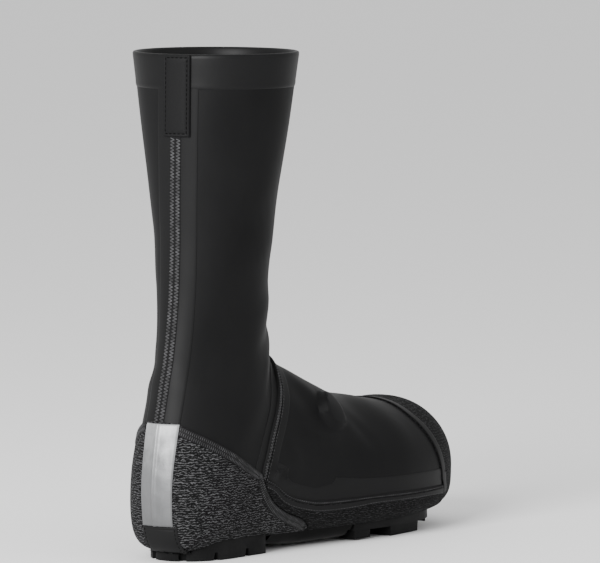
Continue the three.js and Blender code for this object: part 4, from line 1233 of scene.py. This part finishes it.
tab_length = TAB_TOP - TAB_BOTTOM
stitch_way = [
    (-TAB_HALF + TAB_STITCH_INSET, tab_length - TAB_STITCH_INSET),
    (-TAB_HALF + TAB_STITCH_INSET, TAB_STITCH_INSET),
    (TAB_HALF - TAB_STITCH_INSET, TAB_STITCH_INSET),
    (TAB_HALF - TAB_STITCH_INSET, tab_length - TAB_STITCH_INSET),
    (-TAB_HALF + TAB_STITCH_INSET, tab_length - TAB_STITCH_INSET),
]
TAB_STITCH_PITCH = 2.9 * MM
TAB_STITCH = 1.9 * MM
tab_starts, tab_ends, tab_ups = [], [], []
for (x0, z0), (x1, z1) in zip(stitch_way[:-1], stitch_way[1:]):
    length = math.hypot(x1 - x0, z1 - z0)
    count = int(length / TAB_STITCH_PITCH)
    for index in range(count):
        pair = []
        for part in (index * length / count, index * length / count + TAB_STITCH):
            share = part / length
            place = tab_place(
                np.array(x0 + (x1 - x0) * share), np.array(z0 + (z1 - z0) * share)
            )
            pair.append(skin_point(*place, np.array(TAB_OUTSIDE - 0.28 * MM)))
        tab_starts.append(pair[0])
        tab_ends.append(pair[1])
        tab_ups.append(last_normal(*place))
tab_thread_material = new_material("black_thread", (0.0010, 0.0010, 0.0010), 0.6, 0.03)
add_stitches(
    "tab_thread", tab_starts, tab_ends, tab_ups, 0.34 * MM, tab_thread_material, "tape"
)


# Reflective strip: silver film on a tape up the back of the heel, over the counter. It has a
# raised seam near its middle and small creases across it.
STRIP_HALF = 10.75 * MM
STRIP_SHIFT = 2.7 * MM
STRIP_BOTTOM = 0.192 * INSTEP_HEIGHT
STRIP_TOP = 0.705 * INSTEP_HEIGHT
STRIP_LIFT = 2.7 * MM
STRIP_RIDGE = 1.1 * MM
STRIP_RIDGE_HALF = 1.3 * MM
STRIP_RIDGE_SHIFT = -1.2 * MM
STRIP_WAVE = 0.10 * MM


def add_back_plate(name, half, shift, bottom, top, lift_of, columns=36, rows=80):
    """A thin plate laid over the counter at the back of the heel."""
    across = np.linspace(-half, half, columns + 1)[None, :]
    heights = np.linspace(bottom, top, rows + 1)[:, None]
    across, heights = np.broadcast_arrays(across, heights)
    stations, angles = on_back(shift + across, heights)
    edge = np.minimum(half - np.abs(across), np.minimum(heights - bottom, top - heights))
    round_off = np.sqrt(np.clip(1 - (1 - np.clip(edge / (0.5 * MM), 0, 1)) ** 2, 0, 1))
    lift = lift_of(across, heights, edge) - 0.5 * MM * (1 - round_off)
    points = skin_point(stations, angles, lift)
    plate = add_sheet(name, points, last_normal(stations, angles))
    apply_modifier(plate, "SOLIDIFY", thickness=0.9 * MM, offset=-1.0)
    shade_smooth(plate, 50.0)
    return plate


def strip_lift(across, heights, edge):
    from_ridge = (across - STRIP_RIDGE_SHIFT) / STRIP_RIDGE_HALF
    ridge = STRIP_RIDGE * np.exp(-(from_ridge**2) * 1.5)
    waves = STRIP_WAVE * np.sin(heights / (2.1 * MM) + 1.3 * np.sin(across / (3.0 * MM)))
    slack = np.exp(-(((across - 4.0 * MM) / (3.0 * MM)) ** 2))
    return STRIP_LIFT + ridge + waves * (0.3 + slack)


strip = add_back_plate(
    "reflective_film", STRIP_HALF, STRIP_SHIFT, STRIP_BOTTOM, STRIP_TOP, strip_lift
)
strip_material = new_material("silver_reflective_film", (0.25, 0.252, 0.255), 0.45, 0.3)
strip_material.node_tree.nodes["Principled BSDF"].inputs["Metallic"].default_value = 0.35
strip_cloud = add_noise(strip_material, (260.0, 260.0, 120.0), 1.0, detail=4.0, roughness=0.6)
# Painted shade and highlight: the film's colour grows darker towards its bottom and lighter
# towards its top, standing in for how the light falls on the heel, with random clouding mixed in.
strip_place = strip_material.node_tree.nodes.new("ShaderNodeTexCoord")
strip_painted_shade_height = strip_material.node_tree.nodes.new("ShaderNodeMapRange")
strip_painted_shade_height.inputs["From Min"].default_value = STRIP_BOTTOM
strip_painted_shade_height.inputs["From Max"].default_value = STRIP_TOP
strip_axes = strip_material.node_tree.nodes.new("ShaderNodeSeparateXYZ")
strip_material.node_tree.links.new(strip_place.outputs["Object"], strip_axes.inputs["Vector"])
strip_material.node_tree.links.new(strip_axes.outputs["Z"], strip_painted_shade_height.inputs["Value"])
strip_cloud_and_painted_shade = add_blend(strip_material, strip_cloud, strip_painted_shade_height.outputs["Result"], 0.6)
connect(strip_material, add_ramp(strip_material, strip_cloud_and_painted_shade, [
    (0.15, (0.095, 0.096, 0.098)),
    (0.55, (0.135, 0.137, 0.140)),
    (0.85, (0.300, 0.303, 0.307)),
]), "Base Color")
strip_beads = add_bump(
    strip_material, add_noise(strip_material, (1, 1, 1), 1500.0), 0.08 * MM, 0.5
)
strip_crease = add_noise(strip_material, (70.0, 70.0, 210.0), 1.0, detail=3.0, distortion=0.5)
connect(
    strip_material, add_bump(strip_material, strip_crease, 0.35 * MM, 0.5, strip_beads), "Normal"
)
finish_piece(strip, strip_material, "reflective", "reflective_strip")


# Heel patch: a smooth dark tape sewn on below the strip with dark thread. It is a little
# wider than the strip and reaches the underside of the heel.
PATCH_HALF = 12 * MM
PATCH_SHIFT = 3.8 * MM
PATCH_BOTTOM = 6.4 * MM
PATCH_TOP = STRIP_BOTTOM - 0.3 * MM
PATCH_STITCH_INSET = 1.6 * MM
PATCH_STITCH_PITCH = 2.4 * MM


def patch_lift(across, heights, edge):
    return STRIP_LIFT - 0.25 * MM * np.exp(-(((edge - PATCH_STITCH_INSET) / (0.5 * MM)) ** 2))


patch = add_back_plate(
    "heel_patch_tape", PATCH_HALF, PATCH_SHIFT, PATCH_BOTTOM, PATCH_TOP, patch_lift
)
patch_material = new_material("smooth_patch_tape", (0.006, 0.006, 0.0062), 0.55, 0.1)
patch_weave = add_noise(patch_material, (700.0, 700.0, 700.0), 1.0, detail=2.0)
connect(patch_material, add_bump(patch_material, patch_weave, 0.1 * MM, 0.5), "Normal")
finish_piece(patch, patch_material, "tape", "heel_patch")

patch_starts, patch_ends, patch_ups = [], [], []
patch_left = PATCH_SHIFT - PATCH_HALF + PATCH_STITCH_INSET
patch_right = PATCH_SHIFT + PATCH_HALF - PATCH_STITCH_INSET
patch_way = [
    (patch_left, PATCH_TOP - 0.7 * MM),
    (patch_left, PATCH_BOTTOM + PATCH_STITCH_INSET),
    (patch_right, PATCH_BOTTOM + PATCH_STITCH_INSET),
    (patch_right, PATCH_TOP - 0.7 * MM),
]
for (x0, z0), (x1, z1) in zip(patch_way[:-1], patch_way[1:]):
    length = math.hypot(x1 - x0, z1 - z0)
    count = int(length / PATCH_STITCH_PITCH)
    for index in range(count):
        shares = (np.array([0.15, 0.8]) + index) / count
        place = on_back(x0 + (x1 - x0) * shares, z0 + (z1 - z0) * shares)
        ends_of = skin_point(*place, np.full(2, STRIP_LIFT - 0.1 * MM))
        patch_starts.append(ends_of[0])
        patch_ends.append(ends_of[1])
        patch_ups.append(last_normal(*place)[0])
add_stitches(
    "heel_patch_thread", patch_starts, patch_ends, patch_ups, 0.24 * MM, dark_thread_material,
    "tape",
)


# Sole of the shoe inside: a stiff moulded plate with the footbed on it. Both are as in the
# frame, the plate in black nylon and the footbed in dark foam with a cloth cover.
plate_material = new_material("black_moulded_nylon", (0.004, 0.004, 0.0042), 0.4, 0.2)
plate_grain = add_noise(plate_material, (800.0, 800.0, 800.0), 1.0)
connect(plate_material, add_bump(plate_material, plate_grain, 0.08 * MM, 0.4), "Normal")
insole_material = new_material("footbed_cloth", (0.03, 0.031, 0.033), 0.9, 0.15)
insole_weave = add_noise(insole_material, (700.0, 700.0, 700.0), 1.0, detail=2.0)
connect(insole_material, add_bump(insole_material, insole_weave, 0.3 * MM, 0.7), "Normal")
for node_name, node_material in (("sole_plate", plate_material), ("insole", insole_material)):
    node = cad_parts[node_name]
    node.data.materials.clear()
    node.data.materials.append(node_material)


# Treads: black rubber blocks moulded on the plate, one at the heel and one on each side of
# the forefoot. Their edges are a little worn and round.
TREAD_EDGE = 0.7 * MM
TREAD_MERGE = 0.02 * MM

rubber_material = new_material("black_tread_rubber", (0.004, 0.004, 0.0042), 0.6, 0.10)
rubber_dust = add_noise(rubber_material, (45.0, 45.0, 45.0), 1.0, detail=5.0, roughness=0.65)
connect(rubber_material, add_ramp(rubber_material, rubber_dust, [
    (0.35, (0.0022, 0.0022, 0.0023)),
    (0.75, (0.0075, 0.0075, 0.0077)),
]), "Base Color")
rubber_grain = add_noise(rubber_material, (600.0, 600.0, 600.0), 1.0, detail=3.0)
connect(rubber_material, add_bump(rubber_material, rubber_grain, 0.15 * MM, 0.5), "Normal")
for node_name in ("heel_tread", "forefoot_tread_outer", "forefoot_tread_inner"):
    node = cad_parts[node_name]
    tread = node.copy()
    tread.data = node.data.copy()
    tread.name = node_name + "_rubber"
    tread.data.name = tread.name
    for key in list(tread.keys()):
        del tread[key]
    tread.parent = None
    bpy.context.collection.objects.link(tread)
    weld(tread, TREAD_MERGE)
    bpy.ops.object.mode_set(mode="EDIT")
    bpy.ops.mesh.select_all(action="SELECT")
    bpy.ops.mesh.dissolve_limited(angle_limit=math.radians(1.5))
    bpy.ops.object.mode_set(mode="OBJECT")
    apply_modifier(
        tread, "BEVEL", width=TREAD_EDGE, segments=2, limit_method="ANGLE",
        angle_limit=math.radians(35.0), use_clamp_overlap=True,
    )
    shade_smooth(tread, 35.0)
    finish_piece(tread, rubber_material, "tread_rubber", node_name)


# Arch strap: a glossy black coated web under the arch, between the two openings, that keeps
# the cover down. Its edges turn up to the skin. The line's columns are shares of the length
# and of the sole's height.
STRAP_LINE = [(0.287, 0.42), (0.33, 0.24), (0.4, 0.14), (0.47, 0.14), (0.541, 0.14)]
STRAP_THICKNESS = 1.9 * MM
STRAP_EDGE_LIFT = 1.5
STRAP_BEND = 8
STRAP_INSET = 5 * MM
STRAP_COLUMNS = 64
STRAP_ROWS = 40

strap_line = np.array(STRAP_LINE)
strap_rows = []
for distance in np.linspace(strap_line[0, 0], strap_line[-1, 0], STRAP_ROWS + 1):
    middle, half = underside(distance)
    low = np.interp(distance, strap_line[:, 0], strap_line[:, 1])
    share = np.sin(np.linspace(-1, 1, STRAP_COLUMNS + 1) * math.pi / 2)
    lift = low + (STRAP_EDGE_LIFT - low) * share**STRAP_BEND
    strap_rows.append(np.stack([
        middle + share * (half - STRAP_INSET),
        np.full(len(share), along(distance)),
        lift * SOLE_HEIGHT,
    ], axis=-1))
strap_points = np.array(strap_rows)
strap = add_sheet(
    "arch_web", strap_points, np.broadcast_to(np.array([0.0, 0.0, -1.0]), strap_points.shape)
)
apply_modifier(strap, "SOLIDIFY", thickness=STRAP_THICKNESS, offset=-1.0)
shade_smooth(strap, 50.0)
strap_material = new_material("glossy_coated_web", (0.0008, 0.0008, 0.0008), 0.18, 0.04)
strap_ripple = add_noise(strap_material, (120.0, 60.0, 120.0), 1.0, detail=2.0)
connect(strap_material, add_bump(strap_material, strap_ripple, 0.4 * MM, 0.5), "Normal")
finish_piece(strap, strap_material, "strap", "arch_strap")
